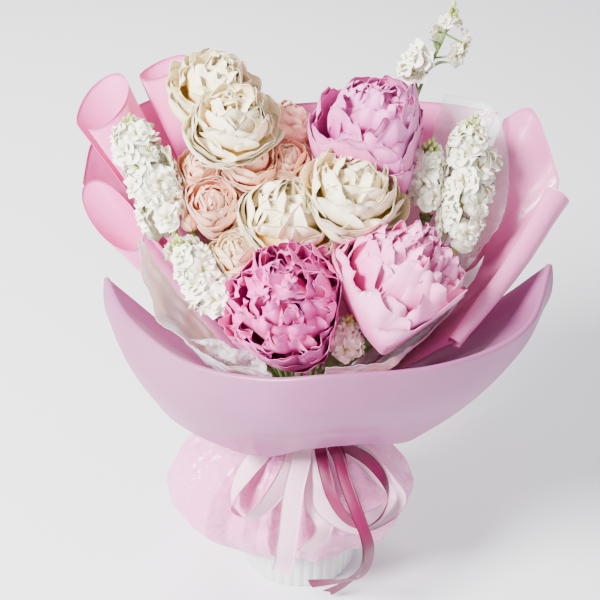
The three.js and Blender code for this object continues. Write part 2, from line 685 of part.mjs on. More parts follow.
// The right sheet's front edge is rolled over into a slim tube with an open mouth.
const HEM = { path: [[240, 22, 434], [198, -32, 389], [138, -100, 341]], radii: [13, 11, 7], sweep: 300, start: 200 };

function makeHem() {
  const path = HEM.path.map(at);
  const net = steps(2).map((t) => {
    const centre = along(path, t);
    const direction = along(path, t + 0.01).sub(along(path, t - 0.01));
    const [side, over] = frameAbout(direction);
    const radius = THREE.MathUtils.lerp(HEM.radii[0], HEM.radii[2], t);
    return steps(8).map((s) => {
      const turn = rad(HEM.start + HEM.sweep * s);
      return centre.clone().addScaledVector(side, radius * Math.cos(turn))
        .addScaledVector(over, radius * Math.sin(turn));
    });
  });
  return slab(net, FILM);
}

// Sheets rolled into open cones. heading is the roll's direction from the tie, seam and cut are turns
// about its axis away from that, and the mouth is cut back on the cut's side.
const ROLLS = [
  { name: 'wrap_left_back', heading: 126, mouth: [-146, 116, 518], radius: 25, seam: 60, cut: 144, slant: 6 },
  { name: 'wrap_left', heading: 159, mouth: [-203, 84, 494], radius: 30, seam: 50, cut: 100, slant: 18 },
  { name: 'wrap_left_front', heading: 184, mouth: [-193, 35, 394], radius: 20, seam: 150, cut: 95, slant: 38 },
];
const ROLL_TIE = { radius: 28.5, deep: 1.75, wide: 4.5, sweep: 335 };

function rollPoint(roll, s, height) {
  const t = Math.max(height, 0);
  const low = onRing(ROLL_TIE.radius, roll.heading, GATHER_HIGH);
  const axis = at(roll.mouth).sub(low);
  const radial = onRing(1, roll.heading, 0);
  const out = radial.addScaledVector(axis, -radial.dot(axis) / axis.lengthSq()).normalize();
  const side = axis.clone().normalize().cross(out);
  const turn = rad(roll.seam + ROLL_TIE.sweep * s + (360 - ROLL_TIE.sweep) / 2);
  const open = smooth(t / 0.25) * t;
  const spiral = 1 + 0.1 * s;
  const deep = THREE.MathUtils.lerp(ROLL_TIE.deep, roll.radius, open) * spiral;
  const wide = THREE.MathUtils.lerp(ROLL_TIE.wide, roll.radius, open) * spiral;
  const length = 1 - (roll.slant / axis.length()) * Math.cos(turn - rad(roll.cut)) * t;
  return inTie(low.addScaledVector(axis, t * length).addScaledVector(out, deep * Math.cos(turn))
    .addScaledVector(side, wide * Math.sin(turn)), height);
}

const makeRoll = (roll) => slab(
  rowsUp(4).map((t) => steps(11).map((s) => rollPoint(roll, s, t))),
  FILM,
);

// The front sheet rises from the tie to a rim and folds over it, to hang outside as a collar.
const FRONT = {
  rim: [[-196, -2, 342], [-170, -48, 325], [-111, -108, 316], [-40, -146, 325], [23, -158, 338],
    [110, -142, 338], [176, -108, 340], [214, -72, 352], [233, -20, 379]],
  hem: [[-166, -22, 264], [-142, -48, 222], [-100, -74, 206], [-43, -90, 195], [10, -94, 207],
    [62, -90, 213], [110, -78, 212], [166, -64, 264], [207, -44, 314]],
  belly: 12, fold: 3,
};

function frontPoint(s, t) {
  const rim = along(FRONT.rim.map(at), s);
  const hem = along(FRONT.hem.map(at), s);
  const out = outward(rim);
  const apart = (side) => rim.clone().addScaledVector(out, side * FRONT.fold);
  if (t <= 0.4) {
    const k = Math.max(t, 0) / 0.4;
    const belly = FRONT.belly * 0.6 * Math.sin(Math.PI * k);
    return inTie(mix(atTie('wrap_front', s), apart(-1), k).addScaledVector(out, belly), t);
  }
  if (t < 0.6) return rim.setZ(rim.z + FRONT.fold);
  const k = (t - 0.6) / 0.4;
  return mix(apart(1), hem, k).addScaledVector(out, FRONT.belly * Math.sin(Math.PI * k));
}

const makeFront = () => slab(
  [-1, 0, 0.2, 0.4, 0.5, 0.6, 0.73, 0.87, 1].map((t) => steps(12).map((s) => frontPoint(s, t))),
  FILM,
);

// ---------------------------------------------------------------- the skirt round the vase

// Rings from the tie to the hem under the vase's shoulder: height, then the reach to the front,
// right, back and left.
const SKIRT = {
  folds: 10, columns: 27,
  rings: [
    [201, 33.7, 33.7, 33.7, 33.7], [184, 33.8, 33.8, 33.8, 33.8], [168, 58, 66, 62, 72], [142, 82, 98, 88, 118],
    [108, 93, 115, 100, 139], [82, 93, 116, 98, 140], [56, 80, 94, 82, 106], [49, 63.4, 63.4, 63.4, 63.4],
  ],
  pleat: [0, 0, 2.5, 4, 3.5, 3, 3, 0],
};

function skirtPoint(ring, degrees) {
  const [height, ...reach] = SKIRT.rings[ring];
  const around = (degrees + 90 + 360) % 360;
  const quarter = Math.floor(around / 90) % 4;
  const share = (1 - Math.cos(rad(2 * (around % 90)))) / 2;
  const radius = THREE.MathUtils.lerp(reach[quarter], reach[(quarter + 1) % 4], share);
  const wave = SKIRT.pleat[ring] * Math.cos(rad(SKIRT.folds * degrees) + 0.5 * Math.sin(rad(3 * degrees)));
  return onRing(radius + wave, degrees, height);
}

const makeSkirt = () => slab(
  SKIRT.rings.map((_, ring) => Array.from({ length: SKIRT.columns }, (__, i) => (
    skirtPoint(ring, (360 * i) / SKIRT.columns)))),
  FILM,
  true,
);

// ---------------------------------------------------------------- ribbons

// Each strand's middle line from the knot, and how far it is turned edge-on at each point, in degrees.
const STRANDS = [
  {
    name: 'pale_curl', colour: 'satin', width: RIBBON.pale, lean: [0, 0, 0, 0, 10, 20, 20],
    route: [[19, -45.8, 190], [17, -56, 177], [14, -76, 157], [14, -90, 137], [24, -97, 120], [20, -103, 104],
      [5, -103, 86]],
  },
  {
    name: 'pale_loop_left', colour: 'satin', width: RIBBON.pale, lean: [0, 0, 10, 25, 45, 60, 50, 25, 0, 0],
    route: [[-2, -49.4, 190], [-6, -62, 177], [-18, -80, 158], [-36, -97, 139], [-54, -104, 129], [-68, -96, 134],
      [-66, -84, 147], [-53, -66, 164], [-40, -54, 175], [-20, -46.4, 190]],
  },
  {
    name: 'pale_loop_right', colour: 'satin', width: RIBBON.pale,
    lean: [0, 0, 0, 15, 35, 50, 55, 60, 50, 30, 10, 0],
    route: [[14, -52.6, 190], [19, -66, 177], [21, -85, 160], [22, -97, 144], [38, -101, 130], [55, -100, 121],
      [74, -90, 120], [93, -76, 124], [97, -66, 133], [84, -60, 149], [64, -52, 168], [37, -47, 191]],
  },
  {
    name: 'pale_tail', colour: 'satin', width: RIBBON.pale, lean: [0, 0, 0, 0, 0, 0, 0, -10],
    route: [[2, -56, 190], [-1, -74, 179], [-7, -94, 160], [-10, -106, 136], [-12, -110, 112], [-14, -109, 92],
      [-15, -103, 72], [-19, -96, 50]],
  },
  {
    name: 'dark_loop', colour: 'rose', width: RIBBON.dark, lean: [0, 0, 10, 30, 45, 50, 45, 30, 15, 0, 0],
    route: [[26, -52.4, 190], [50, -56, 181], [70, -60, 169], [84, -70, 154], [88, -82, 140], [80, -96, 127],
      [63, -106, 122], [46, -108, 134], [32, -98, 152], [24, -82, 170], [18, -60, 186]],
  },
  {
    name: 'dark_tail', colour: 'rose', width: RIBBON.dark, lean: [0, 0, 0, 0, 10, 20, 20, 10, 0],
    route: [[30, -58, 191], [37, -66, 184], [43, -84, 168], [55, -106, 146], [66, -116, 117], [68, -104, 82],
      [63, -92, 53], [46, -84, 26], [30, -77, 8]],
  },
  {
    name: 'dark_curl', colour: 'rose', width: RIBBON.dark, lean: [0, 0, 0, 0, 10, 20, 25, 20, 10, 0],
    route: [[30, -62, 191], [37, -73, 183], [44, -92, 168], [56, -114, 146], [68, -124, 117], [70, -112, 82],
      [64, -104, 56], [48, -97, 44], [30, -88, 33], [12, -82, 25]],
  },
];

// Strands face a little more to the front than straight out from the vase.
const STRAND_FACING = 80;

function strandPoint(strand, k, side) {
  const route = strand.route.map(at);
  const leans = strand.lean.map((degrees) => vec(degrees, 0, 0));
  const middle = along(route, k);
  const heading = along(route, k + 0.01).sub(along(route, k - 0.01)).normalize();
  const out = outward(middle.clone().setY(middle.y - STRAND_FACING));
  const across = heading.clone().cross(out).normalize();
  const facing = across.clone().cross(heading);
  const lean = rad(along(leans, k).x);
  return middle.addScaledVector(across, 0.5 * side * strand.width * Math.cos(lean))
    .addScaledVector(facing, 0.5 * side * strand.width * Math.sin(lean));
}

const makeStrand = (strand, thickness) => slab(
  steps(Math.round(1.6 * strand.route.length)).map((k) => [1, -1].map((side) => strandPoint(strand, k, side))),
  thickness,
);

// The slot that clears a strand on every side.
function slotOf(strand) {
  const spots = strand.route.map(at);
  const past = (end, next) => end.clone().addScaledVector(end.clone().sub(next).normalize(), CLEARANCE);
  const route = [past(spots[0], spots[1]), ...spots.slice(1, -1), past(spots.at(-1), spots.at(-2))];
  const wide = { ...strand, route: route.map((p) => p.toArray()), width: strand.width + 2 * CLEARANCE };
  return makeStrand(wide, RIBBON.thickness + 2 * CLEARANCE);
}

// The band round the neck, with the knot that the strands come out of.
function makeTie() {
  const band = slab([TIE.low, TIE.high].map((z) => Array.from({ length: 24 }, (_, i) => (
    onRing(TIE.radius, 15 * i, z)))), TIE.thickness, true);
  const neck = rod([vec(0, 0, TIE.low - 5), vec(0, 0, TIE.high + 5)], [TIE.radius, TIE.radius], 24);
  const knot = ball(at(KNOT.centre), KNOT.radii).subtract(neck).subtract(fuse(STRANDS.map(slotOf)));
  return band.add(knot);
}

// ---------------------------------------------------------------- the bunch

const bunch = new THREE.Group();
bunch.name = 'bunch_of_peonies';
bunch.add(meshOf('vase', largest(makeVase()), COLOURS.glass, 0.15));
bunch.add(meshOf('water', largest(makeWater([...STEMS, TALL].map(stemHole))), COLOURS.water, 0.05));

const heads = {};
BLOOMS.forEach((bloom, i) => {
  heads[bloom.name] = largest(makeBloom(bloom, i));
  bunch.add(meshOf(bloom.name, heads[bloom.name], COLOURS[bloom.colour ?? KIND_COLOUR[bloom.kind]]));
});
SPIKES.forEach((spike, i) => {
  heads[spike.name] = largest(makeSpike(spike, i));
  bunch.add(meshOf(spike.name, heads[spike.name], COLOURS.white));
});
STEMS.forEach((stem) => bunch.add(meshOf(stem.name, largest(makeStem(stem, heads)), COLOURS.green)));
bunch.add(meshOf(TALL.name, largest(makeTallStock()), COLOURS.white));

bunch.add(meshOf('skirt', largest(makeSkirt()), COLOURS.film, 0.35));
bunch.add(meshOf('wrap_front', largest(makeFront()), COLOURS.collar, 0.5));
bunch.add(meshOf('wrap_back', largest(makePanel('wrap_back', 3, 10)), COLOURS.film, 0.45));
bunch.add(meshOf('wrap_right', largest(fuse([makePanel('wrap_right', 4, 9), makeHem()])), COLOURS.film, 0.45));
ROLLS.forEach((roll) => bunch.add(meshOf(roll.name, largest(makeRoll(roll)), COLOURS.film, 0.45)));
bunch.add(meshOf('tissue_left', largest(makePanel('tissue_left', 3, 10)), COLOURS.tissue, 0.8));
bunch.add(meshOf('tissue_right', largest(makePanel('tissue_right', 3, 10)), COLOURS.tissue, 0.8));
bunch.add(meshOf('cellophane_front', largest(makePanel('cellophane_front', 3, 6)), COLOURS.clear, 0.1));
bunch.add(meshOf('cellophane_right', largest(makePanel('cellophane_right', 3, 6)), COLOURS.clear, 0.1));
bunch.add(meshOf('ribbon_tie', largest(makeTie(), FINE_SLIVER), COLOURS.satin, 0.3));
STRANDS.forEach((strand) => {
  const solid = makeStrand(strand, RIBBON.thickness);
  bunch.add(meshOf(strand.name, solid, COLOURS[strand.colour], 0.3));
});

export default bunch;
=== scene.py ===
# %% [markdown]
# # A bunch of peonies in a wrap and a vase
#
# Pieces are worked out in millimetres until a mesh is made; materials, lamps and the camera are in metres.
# +Z is up, the front faces -Y, and the origin is the middle of the vase's foot. Each piece stands for the
# plain solid whose name it starts with.
#
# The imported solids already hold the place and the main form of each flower, sheet and ribbon, but their
# petals are thick wedges. Here all but the water is worked out again, mostly as thin surfaces, in place.

# %% Start
import math

import bpy
import numpy as np
from mathutils import Matrix, Vector


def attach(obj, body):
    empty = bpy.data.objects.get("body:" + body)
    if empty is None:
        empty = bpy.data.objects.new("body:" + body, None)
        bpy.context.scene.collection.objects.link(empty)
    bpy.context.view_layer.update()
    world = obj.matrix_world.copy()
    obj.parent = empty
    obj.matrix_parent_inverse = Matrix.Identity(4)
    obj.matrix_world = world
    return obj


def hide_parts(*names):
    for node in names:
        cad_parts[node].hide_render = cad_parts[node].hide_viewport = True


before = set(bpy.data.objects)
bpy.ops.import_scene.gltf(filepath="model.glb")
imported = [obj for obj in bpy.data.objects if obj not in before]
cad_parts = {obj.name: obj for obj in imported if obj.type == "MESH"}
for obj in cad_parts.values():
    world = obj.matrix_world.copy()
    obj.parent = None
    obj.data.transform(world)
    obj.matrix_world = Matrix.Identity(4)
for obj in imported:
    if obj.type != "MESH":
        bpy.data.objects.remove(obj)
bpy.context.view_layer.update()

MM = 0.001
GOLDEN_ANGLE = math.radians(137.5)

# %% [markdown]
# ## Small maths
#
# Points are numpy arrays whose last axis is x, y, z, so one call works on a whole net of them. A loop over
# vertices would give the same shapes, but slowly for over a million triangles.

# %% Vectors
def vec(*xyz):
    """A point or a direction."""
    return np.array(xyz, float)


def unit(p):
    """Each vector divided by its own length."""
    return p / np.maximum(np.linalg.norm(p, axis=-1, keepdims=True), 1e-9)


def mix(a, b, k):
    """A share k of the way from a to b."""
    return a + (b - a) * k


def smooth(k):
    """Zero to one with level ends: three times the square, less twice the cube."""
    k = np.clip(k, 0, 1)
    return k * k * (3 - 2 * k)


def on_ring(radius, degrees, z):
    """Points on a circle about the upright axis."""
    turn = np.radians(degrees)
    return np.stack(np.broadcast_arrays(radius * np.cos(turn), radius * np.sin(turn), z), -1)

# %% [markdown]
# Stems, ribbons and the edges of sheets bend smoothly. Each is given by a few points that its curve passes
# through, and film is crumpled by a height that varies smoothly. Blender has curves and noise of its own,
# but here both are needed as numbers, before there is a mesh.

# %% Curves and ripples
def along(points, k):
    """The points a share k of the way, in steps of the given points, along a curve through them.

    Between two of them it is the cubic whose slope at each is half the way from the one before to the next.
    """
    points = np.asarray(points, float)
    last = len(points) - 1
    place = np.clip(k, 0, 1) * last
    i = np.minimum(np.floor(place).astype(int), last - 1)
    f = (place - i)[..., None]
    a, b, c, d = (points[np.clip(i + n, 0, last)] for n in (-1, 0, 1, 2))
    return 0.5 * (2 * b + (c - a) * f + (2 * a - 5 * b + 4 * c - d) * f**2 + (3 * b - a - 3 * c + d) * f**3)


def outward(p):
    """The level direction from the upright axis to each point."""
    return unit(p * vec(1, 1, 0))


def turn_to(direction):
    """The rotation that takes +Z to a direction."""
    return np.array(Vector((0, 0, 1)).rotation_difference(Vector(direction)).to_matrix())


def frames(path):
    """Two directions square to a path at each of its points."""
    heading = unit(np.gradient(path, axis=0))
    up = np.where(np.abs(heading[:, 1:2]) > 0.9, vec(1, 0, 0), vec(0, 1, 0))
    side = unit(np.cross(up, heading))
    return side, np.cross(heading, side)


def ripples(points, size, seed, waves=9):
    """Sine waves in random directions, summed and divided by the root of their number: mostly -1 to 1."""
    rng = np.random.default_rng(seed)
    total = 0
    for _ in range(waves):
        way = rng.normal(size=3)
        total = total + np.sin(points @ (way / size * 2.2) + rng.uniform(0, 2 * np.pi))
    return total / math.sqrt(waves)


# %% [markdown]
# ## Nets and meshes
#
# Petals, film and ribbon are all thin sheets, so one way of making them serves all. A net is a grid of
# points, rows by columns. `Pile` gives each net a thickness, closes its rim and gathers many of them in one
# mesh. Solidify could thicken them, but a pile may also hold closed forms, such as a stem or a ball, which
# it would spoil. Each point keeps how far across and along its own net it lies, and a tone for the whole
# net, which the materials read.

# %% Nets
def normals(net, ring=False):
    """The cross product of a net's two directions at each point, at length one; a ring's columns meet."""
    if ring:
        across = np.roll(net, -1, axis=1) - np.roll(net, 1, axis=1)
    else:
        across = np.gradient(net, axis=1)
    return unit(np.cross(across, np.gradient(net, axis=0)))


class Pile:
    """Nets that become one mesh."""

    def __init__(self):
        self.points, self.quads, self.notes, self.count = [], [], [], 0

    def add(self, points, quads, notes):
        """Keep points, faces and notes; the faces count on from the points already there."""
        self.points.append(points.reshape(-1, 3))
        self.quads.append(quads + self.count)
        self.notes.append(notes)
        self.count += points.reshape(-1, 3).shape[0]

    def shell(self, net, thickness, tone=0.5, ring=False):
        """A net moved half its thickness to each side along its normals, and a rim between the two."""
        rows, columns = net.shape[:2]
        lift = normals(net, ring) * thickness / 2
        spans = columns if ring else columns - 1
        i, j = (a.ravel() for a in np.meshgrid(np.arange(rows - 1), np.arange(spans), indexing="ij"))
        spot = lambda a, b: a * columns + b % columns
        front = np.stack([spot(i, j), spot(i, j + 1), spot(i + 1, j + 1), spot(i + 1, j)], -1)
        size = rows * columns
        quads = [front, front[:, ::-1] + size]
        j = np.arange(spans)
        for row, flip in ((0, True), (rows - 1, False)):
            rim = np.stack([spot(row, j), spot(row, j + 1), spot(row, j + 1) + size, spot(row, j) + size], -1)
            quads.append(rim if flip else rim[:, ::-1])
        if not ring:
            i = np.arange(rows - 1)
            for column, flip in ((0, False), (columns - 1, True)):
                rim = np.stack([spot(i, column), spot(i + 1, column), spot(i + 1, column) + size,
                                spot(i, column) + size], -1)
                quads.append(rim[:, ::-1] if not flip else rim)
        v, u = np.meshgrid(np.linspace(0, 1, rows), np.linspace(0, 1, columns), indexing="ij")
        notes = np.stack([u, v, np.full_like(u, tone)], -1).reshape(-1, 3)
        self.add(np.concatenate([net + lift, net - lift]), np.concatenate(quads), np.concatenate([notes, notes]))

    def closed(self, net, tone=0.5):
        """A net whose columns run round and whose first and last rows are drawn in to a point."""
        rows, columns = net.shape[:2]
        i, j = (a.ravel() for a in np.meshgrid(np.arange(rows - 1), np.arange(columns), indexing="ij"))
        spot = lambda a, b: a * columns + b % columns
        quads = np.stack([spot(i, j), spot(i, j + 1), spot(i + 1, j + 1), spot(i + 1, j)], -1)
        v, u = np.meshgrid(np.linspace(0, 1, rows), np.linspace(0, 1, columns), indexing="ij")
        self.add(net, quads, np.stack([u, v, np.full_like(u, tone)], -1).reshape(-1, 3))

    def tube(self, path, radii, sides=12, tone=0.5):
        """A circle round each point of a path, drawn in to a point at both ends."""
        path = np.asarray(path, float)
        radii = np.broadcast_to(radii, len(path)).astype(float)
        side, over = frames(path)
        turn = np.linspace(0, 2 * np.pi, sides, endpoint=False)
        reach = radii[:, None, None]
        net = path[:, None] + reach * (np.cos(turn)[:, None] * side[:, None] + np.sin(turn)[:, None] * over[:, None])
        ends = [np.repeat(path[i][None, None], sides, axis=1) for i in (0, -1)]
        self.closed(np.concatenate([ends[0], net, ends[1]]), tone)

    def ball(self, centre, radii, heading=(0, 0, 1), tone=0.5, rows=8, sides=12):
        """A stretched ball, by the angle from its axis and the turn about it."""
        tilt = np.linspace(np.pi, 0, rows)[:, None]
        turn = np.linspace(0, 2 * np.pi, sides, endpoint=False)[None]
        net = np.stack(np.broadcast_arrays(np.sin(tilt) * np.cos(turn), np.sin(tilt) * np.sin(turn),
                                           np.cos(tilt)), -1)
        self.closed(centre + (net * radii) @ turn_to(heading).T, tone)

    def mesh(self, name):
        """All the nets as one mesh in metres: place on the net as UV, tone as an attribute."""
        points = np.concatenate(self.points) * MM
        quads = np.concatenate(self.quads)
        notes = np.concatenate(self.notes)
        mesh = bpy.data.meshes.new(name)
        mesh.vertices.add(len(points))
        mesh.vertices.foreach_set("co", points.ravel())
        mesh.loops.add(quads.size)
        mesh.loops.foreach_set("vertex_index", quads.ravel().astype(np.int32))
        mesh.polygons.add(len(quads))
        mesh.polygons.foreach_set("loop_start", np.arange(0, quads.size, 4, dtype=np.int32))
        mesh.update(calc_edges=True)
        mesh.validate()
        loops = np.empty(len(mesh.loops), np.int32)
        mesh.loops.foreach_get("vertex_index", loops)
        mesh.uv_layers.new(name="net").data.foreach_set("uv", notes[loops][:, :2].ravel())
        tone = mesh.attributes.new("tone", "FLOAT", "POINT")
        tone.data.foreach_set("value", notes[:, 2])
        mesh.shade_smooth()
        return mesh

# %% [markdown]
# A piece rides on the one body and stands for a solid. Every piece needs
# both, so they are given in one place.

# %% One piece
def show(name, pile, material, slot, *nodes):
    """The pile's mesh as a piece that stands for the named solids."""
    piece = bpy.data.objects.new(name, pile.mesh(name))
    bpy.context.collection.objects.link(piece)
    piece.data.materials.append(material)
    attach(piece, "root")
    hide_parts(*nodes)
    print(f"{name}: {len(piece.data.polygons)} faces, for {', '.join(nodes)}")
    return piece


# %% [markdown]
# ## Shader maths
#
# A finish changes over a surface: a petal is darker at its root, and film is creased. Placing nodes by hand
# hides the pattern in a drawing, so a `Value` wraps a socket of the node tree, and adding or multiplying
# values adds a Math node. A pattern is then read as a formula. `Paint` is one material and its shader.

# %% Values
def srgb(red, green, blue):
    """An 8-bit screen colour as the linear one that a shader takes."""
    share = np.array([red, green, blue]) / 255
    linear = np.where(share <= 0.04045, share / 12.92, ((share + 0.055) / 1.055) ** 2.4)
    return (*map(float, linear), 1.0)


class Value:
    """A socket that takes part in sums and products, from either side."""

    def __init__(self, paint, socket):
        self.paint, self.socket = paint, socket

    def math(self, operation, *others, clamp=False):
        """A Math node on this value and others."""
        terms = dict(enumerate((self, *others)))
        return Value(self.paint, self.paint.node("Math", terms, operation=operation, use_clamp=clamp).outputs[0])

    def __add__(self, other):
        return self.math("ADD", other)

    def __sub__(self, other):
        return self.math("SUBTRACT", other)

    def __mul__(self, other):
        return self.math("MULTIPLY", other)

    def __rsub__(self, other):
        return self * -1.0 + other

    __radd__, __rmul__ = __add__, __mul__

    def held(self):
        """The value, kept between zero and one."""
        return self.math("ADD", 0.0, clamp=True)

# %% [markdown]
# A material is a Principled shader and the nodes that feed it, and one method makes every node. What varies
# over a surface reaches only colour, roughness and bump, because those can be baked into pictures.

# %% Paint
class Paint:
    """A Principled material and the patterns that drive it."""

    def __init__(self, name, **fixed):
        self.material = bpy.data.materials.new(name)
        self.material.use_nodes = True
        self.tree = self.material.node_tree
        self.shader = self.tree.nodes["Principled BSDF"]
        for socket, value in fixed.items():
            self.shader.inputs[socket.replace("_", " ")].default_value = value

    def node(self, kind, sockets=None, **settings):
        """A new node: its settings first, then a value or a link for each named or numbered socket."""
        node = self.tree.nodes.new("ShaderNode" + kind)
        for key, value in settings.items():
            setattr(node, key, value)
        for slot, value in (sockets or {}).items():
            self.feed(node.inputs[slot], value)
        return node

    def feed(self, slot, value):
        """Link a value or a socket to an input, or set a constant there."""
        if isinstance(value, Value):
            self.tree.links.new(value.socket, slot)
        elif isinstance(value, bpy.types.NodeSocket):
            self.tree.links.new(value, slot)
        else:
            slot.default_value = value

    def net(self):
        """How far across and along its own net a point lies."""
        split = self.node("SeparateXYZ", {0: self.node("UVMap", uv_map="net").outputs[0]})
        return Value(self, split.outputs[0]), Value(self, split.outputs[1])

    def tone(self):
        """The tone that its net was given."""
        return Value(self, self.node("Attribute", attribute_name="tone").outputs["Fac"])

    def place(self, x=None, y=None, z=None):
        """Object coordinates, or a point made of values."""
        if x is None:
            return self.node("TexCoord").outputs["Object"]
        return self.node("CombineXYZ", {0: x, 1: y, 2: z}).outputs[0]

    def noise(self, scale, where=None, detail=2.0, roughness=0.5):
        """Smooth noise from zero to one."""
        sockets = {"Vector": where or self.place(), "Scale": scale, "Detail": detail, "Roughness": roughness}
        return Value(self, self.node("TexNoise", sockets).outputs["Fac"])

    def blend(self, share, low, high):
        """A share of the way from one colour to another."""
        return self.node("Mix", {"Factor": share, 6: low, 7: high}, data_type="RGBA").outputs[2]

    def colour(self, value):
        self.feed(self.shader.inputs["Base Color"], value)

    def rough(self, value):
        self.feed(self.shader.inputs["Roughness"], value)

    def bump(self, height, distance):
        """Raise the surface in looks alone, by height times a distance in metres."""
        node = self.node("Bump", {"Strength": 1.0, "Distance": distance, "Height": height})
        self.feed(self.shader.inputs["Normal"], node.outputs[0])

# %% [markdown]
# A petal is deepest in colour at its root and palest at its edge, with veins along it. The deep root is partly the
# petal's own colour and partly painted shade where the petals overlap. A picture of one would repeat, so noise is
# stretched along the net instead, and the tone of each petal shifts its colours.

# %% Petal finish
def petal_paint(name, root, body, edge):
    """Soft petal: one colour at the root, partly its own and partly painted shade between petals, one in the middle
    and one at the edge, with fine veins.
    """
    paint = Paint(name, Sheen_Weight=0.1, Sheen_Roughness=0.5, Subsurface_Weight=0.05, Subsurface_Scale=0.003)
    across, up = paint.net()
    tone = paint.tone()
    streak = paint.noise(1.0, paint.place(across * 34.0, up * 1.6, tone * 40.0), detail=3)
    cloud = paint.noise(90.0)
    reach = (up + (streak - 0.5) * 0.35 + (cloud - 0.5) * 0.25 + (tone - 0.5) * 0.5).held()
    # The root colour is partly the petal's own deeper base and partly painted shade where the petals overlap.
    lower = paint.blend((reach * 2.0).held(), root, body)
    paint.colour(paint.blend(((reach - 0.45) * 1.8).held(), lower, edge))
    paint.rough(streak * 0.25 + 0.43)
    paint.bump(streak + cloud * 0.4, 0.00025)
    return paint.material

# %% [markdown]
# Wrapping film is thin plastic that keeps a crease where it was bent. A crease is a sharp line. Noise
# passes its middle value along such lines, so the bump is raised there.

# %% Film finish
def film_paint(name, low, high, roughness=0.32, creases=0.0006, **fixed):
    """Coloured film: a slow drift between two colours and soft creases."""
    paint = Paint(name, Coat_Weight=0.2, Coat_Roughness=0.15, **fixed)
    drift = paint.noise(6.0, detail=1)
    paint.colour(paint.blend((drift * 1.6 - 0.3).held(), low, high))
    crease = paint.noise(28.0, detail=4, roughness=0.6)
    paint.rough(crease * 0.2 + (roughness - 0.1))
    ridge = (crease - 0.5).math("ABSOLUTE")
    paint.bump(crease * 0.5 - ridge * 2.4 + paint.noise(160.0) * 0.12, creases)
    return paint.material

# %% [markdown]
# Satin is woven, with a firm edge. Noise stretched along the net gives its threads, and the outer four per
# cent at each side is its edge. A real weave is too fine to show here.

# %% Satin finish
def satin_paint(name, low, high):
    """Woven satin: fine threads along the strand, and a broad sheen."""
    paint = Paint(name, Specular_IOR_Level=0.35, Coat_Weight=0.06, Coat_Roughness=0.3)
    across, up = paint.net()
    threads = paint.noise(1.0, paint.place(across * 60.0, up * 6.0, 0.0), detail=2)
    selvedge = (across - 0.5).math("ABSOLUTE").math("GREATER_THAN", 0.46)
    paint.colour(paint.blend((threads * 1.4 - 0.2 - selvedge * 0.4).held(), low, high))
    paint.rough(threads * 0.2 + 0.32)
    paint.bump(threads + selvedge * 0.8, 0.00012)
    return paint.material

# %% [markdown]
# Stems, leaves and buds are matt. Two greens are mixed by streaks along the net and by blotches, as one
# flat green looks like plastic.

# %% Plant finish
def plant_paint(name, low, high):
    """Stems, leaves and buds: two greens, long streaks and a matt skin."""
    paint = Paint(name, Subsurface_Weight=0.05, Subsurface_Scale=0.003)
    across, up = paint.net()
    streak = paint.noise(1.0, paint.place(across * 22.0, up * 3.0, paint.tone() * 30.0), detail=3)
    blotch = paint.noise(55.0)
    paint.colour(paint.blend((streak * 0.8 + blotch * 0.6 - 0.2).held(), low, high))
    paint.rough(blotch * 0.2 + 0.4)
    paint.bump(streak + blotch * 0.5, 0.0002)
    return paint.material

# %% [markdown]
# The colours are set against the photograph. They are deeper than they look there, because the view
# transform of the render pales them.

# %% The finishes
PETALS = {
    "cool": petal_paint("cool_pink_petal", srgb(142, 6, 98), srgb(206, 54, 152), srgb(234, 134, 200)),
    "magenta": petal_paint("magenta_pink_petal", srgb(152, 0, 98), srgb(216, 30, 148), srgb(238, 102, 188)),
    "blush": petal_paint("pale_pink_petal", srgb(204, 24, 128), srgb(234, 88, 172), srgb(247, 158, 208)),
    "cream": petal_paint("cream_petal", srgb(236, 196, 96), srgb(253, 230, 172), srgb(255, 244, 214)),
    "peach": petal_paint("peach_petal", srgb(218, 98, 62), srgb(246, 166, 128), srgb(252, 206, 178)),
    "beige": petal_paint("beige_petal", srgb(214, 142, 78), srgb(244, 198, 138), srgb(252, 228, 190)),
    "white": petal_paint("white_petal", srgb(178, 198, 40), srgb(253, 246, 214), srgb(255, 251, 236)),
}
GREEN = plant_paint("stem_green", srgb(74, 98, 44), srgb(122, 150, 78))
LEAF = plant_paint("leaf_green", srgb(70, 96, 46), srgb(140, 164, 96))
BUD = plant_paint("bud_green", srgb(150, 172, 62), srgb(212, 218, 132))
FILM = film_paint("pink_film", srgb(226, 84, 164), srgb(246, 146, 202))
# A darker copy of the pink film: painted shade for the right sheet and its rolled edge.
PAINTED_SHADE_FILM = film_paint("pink_film_painted_shade", srgb(200, 92, 150), srgb(222, 130, 180))
COLLAR = film_paint("mauve_film", srgb(148, 78, 124), srgb(166, 98, 142), roughness=0.46, creases=0.00025)
SKIRT_FILM = film_paint("pale_film", srgb(226, 122, 182), srgb(242, 168, 210), roughness=0.28, creases=0.003)
TISSUE = film_paint("blush_tissue", srgb(250, 214, 222), srgb(255, 242, 243), roughness=0.75, creases=0.0012,
                    Subsurface_Weight=0.5, Subsurface_Scale=0.02)
CELLOPHANE = film_paint("clear_film", srgb(248, 240, 246), srgb(255, 252, 254), roughness=0.14, creases=0.0014,
                        Alpha=0.3)
SATIN = satin_paint("pale_satin", srgb(228, 164, 194), srgb(252, 216, 230))
ROSE_SATIN = satin_paint("dark_satin", srgb(84, 0, 44), srgb(130, 4, 74))
print(len(PETALS), "finishes for petals, 3 for plants, 6 for film and tissue, 2 for satin")

# %% [markdown]
# ## Where each flower sits
#
# A bloom has a middle, a radius and the way that it faces. A stock's spike runs from its lowest florets to
# its tip. Real heads press on each other. A simulation would find how, but slowly, so a plane is set between
# each two neighbours, and a point past it is pressed back, to about a quarter of the way that it had gone.
# Petals of two heads so interlock a little. The walls stand for the sheets, and no point passes those.

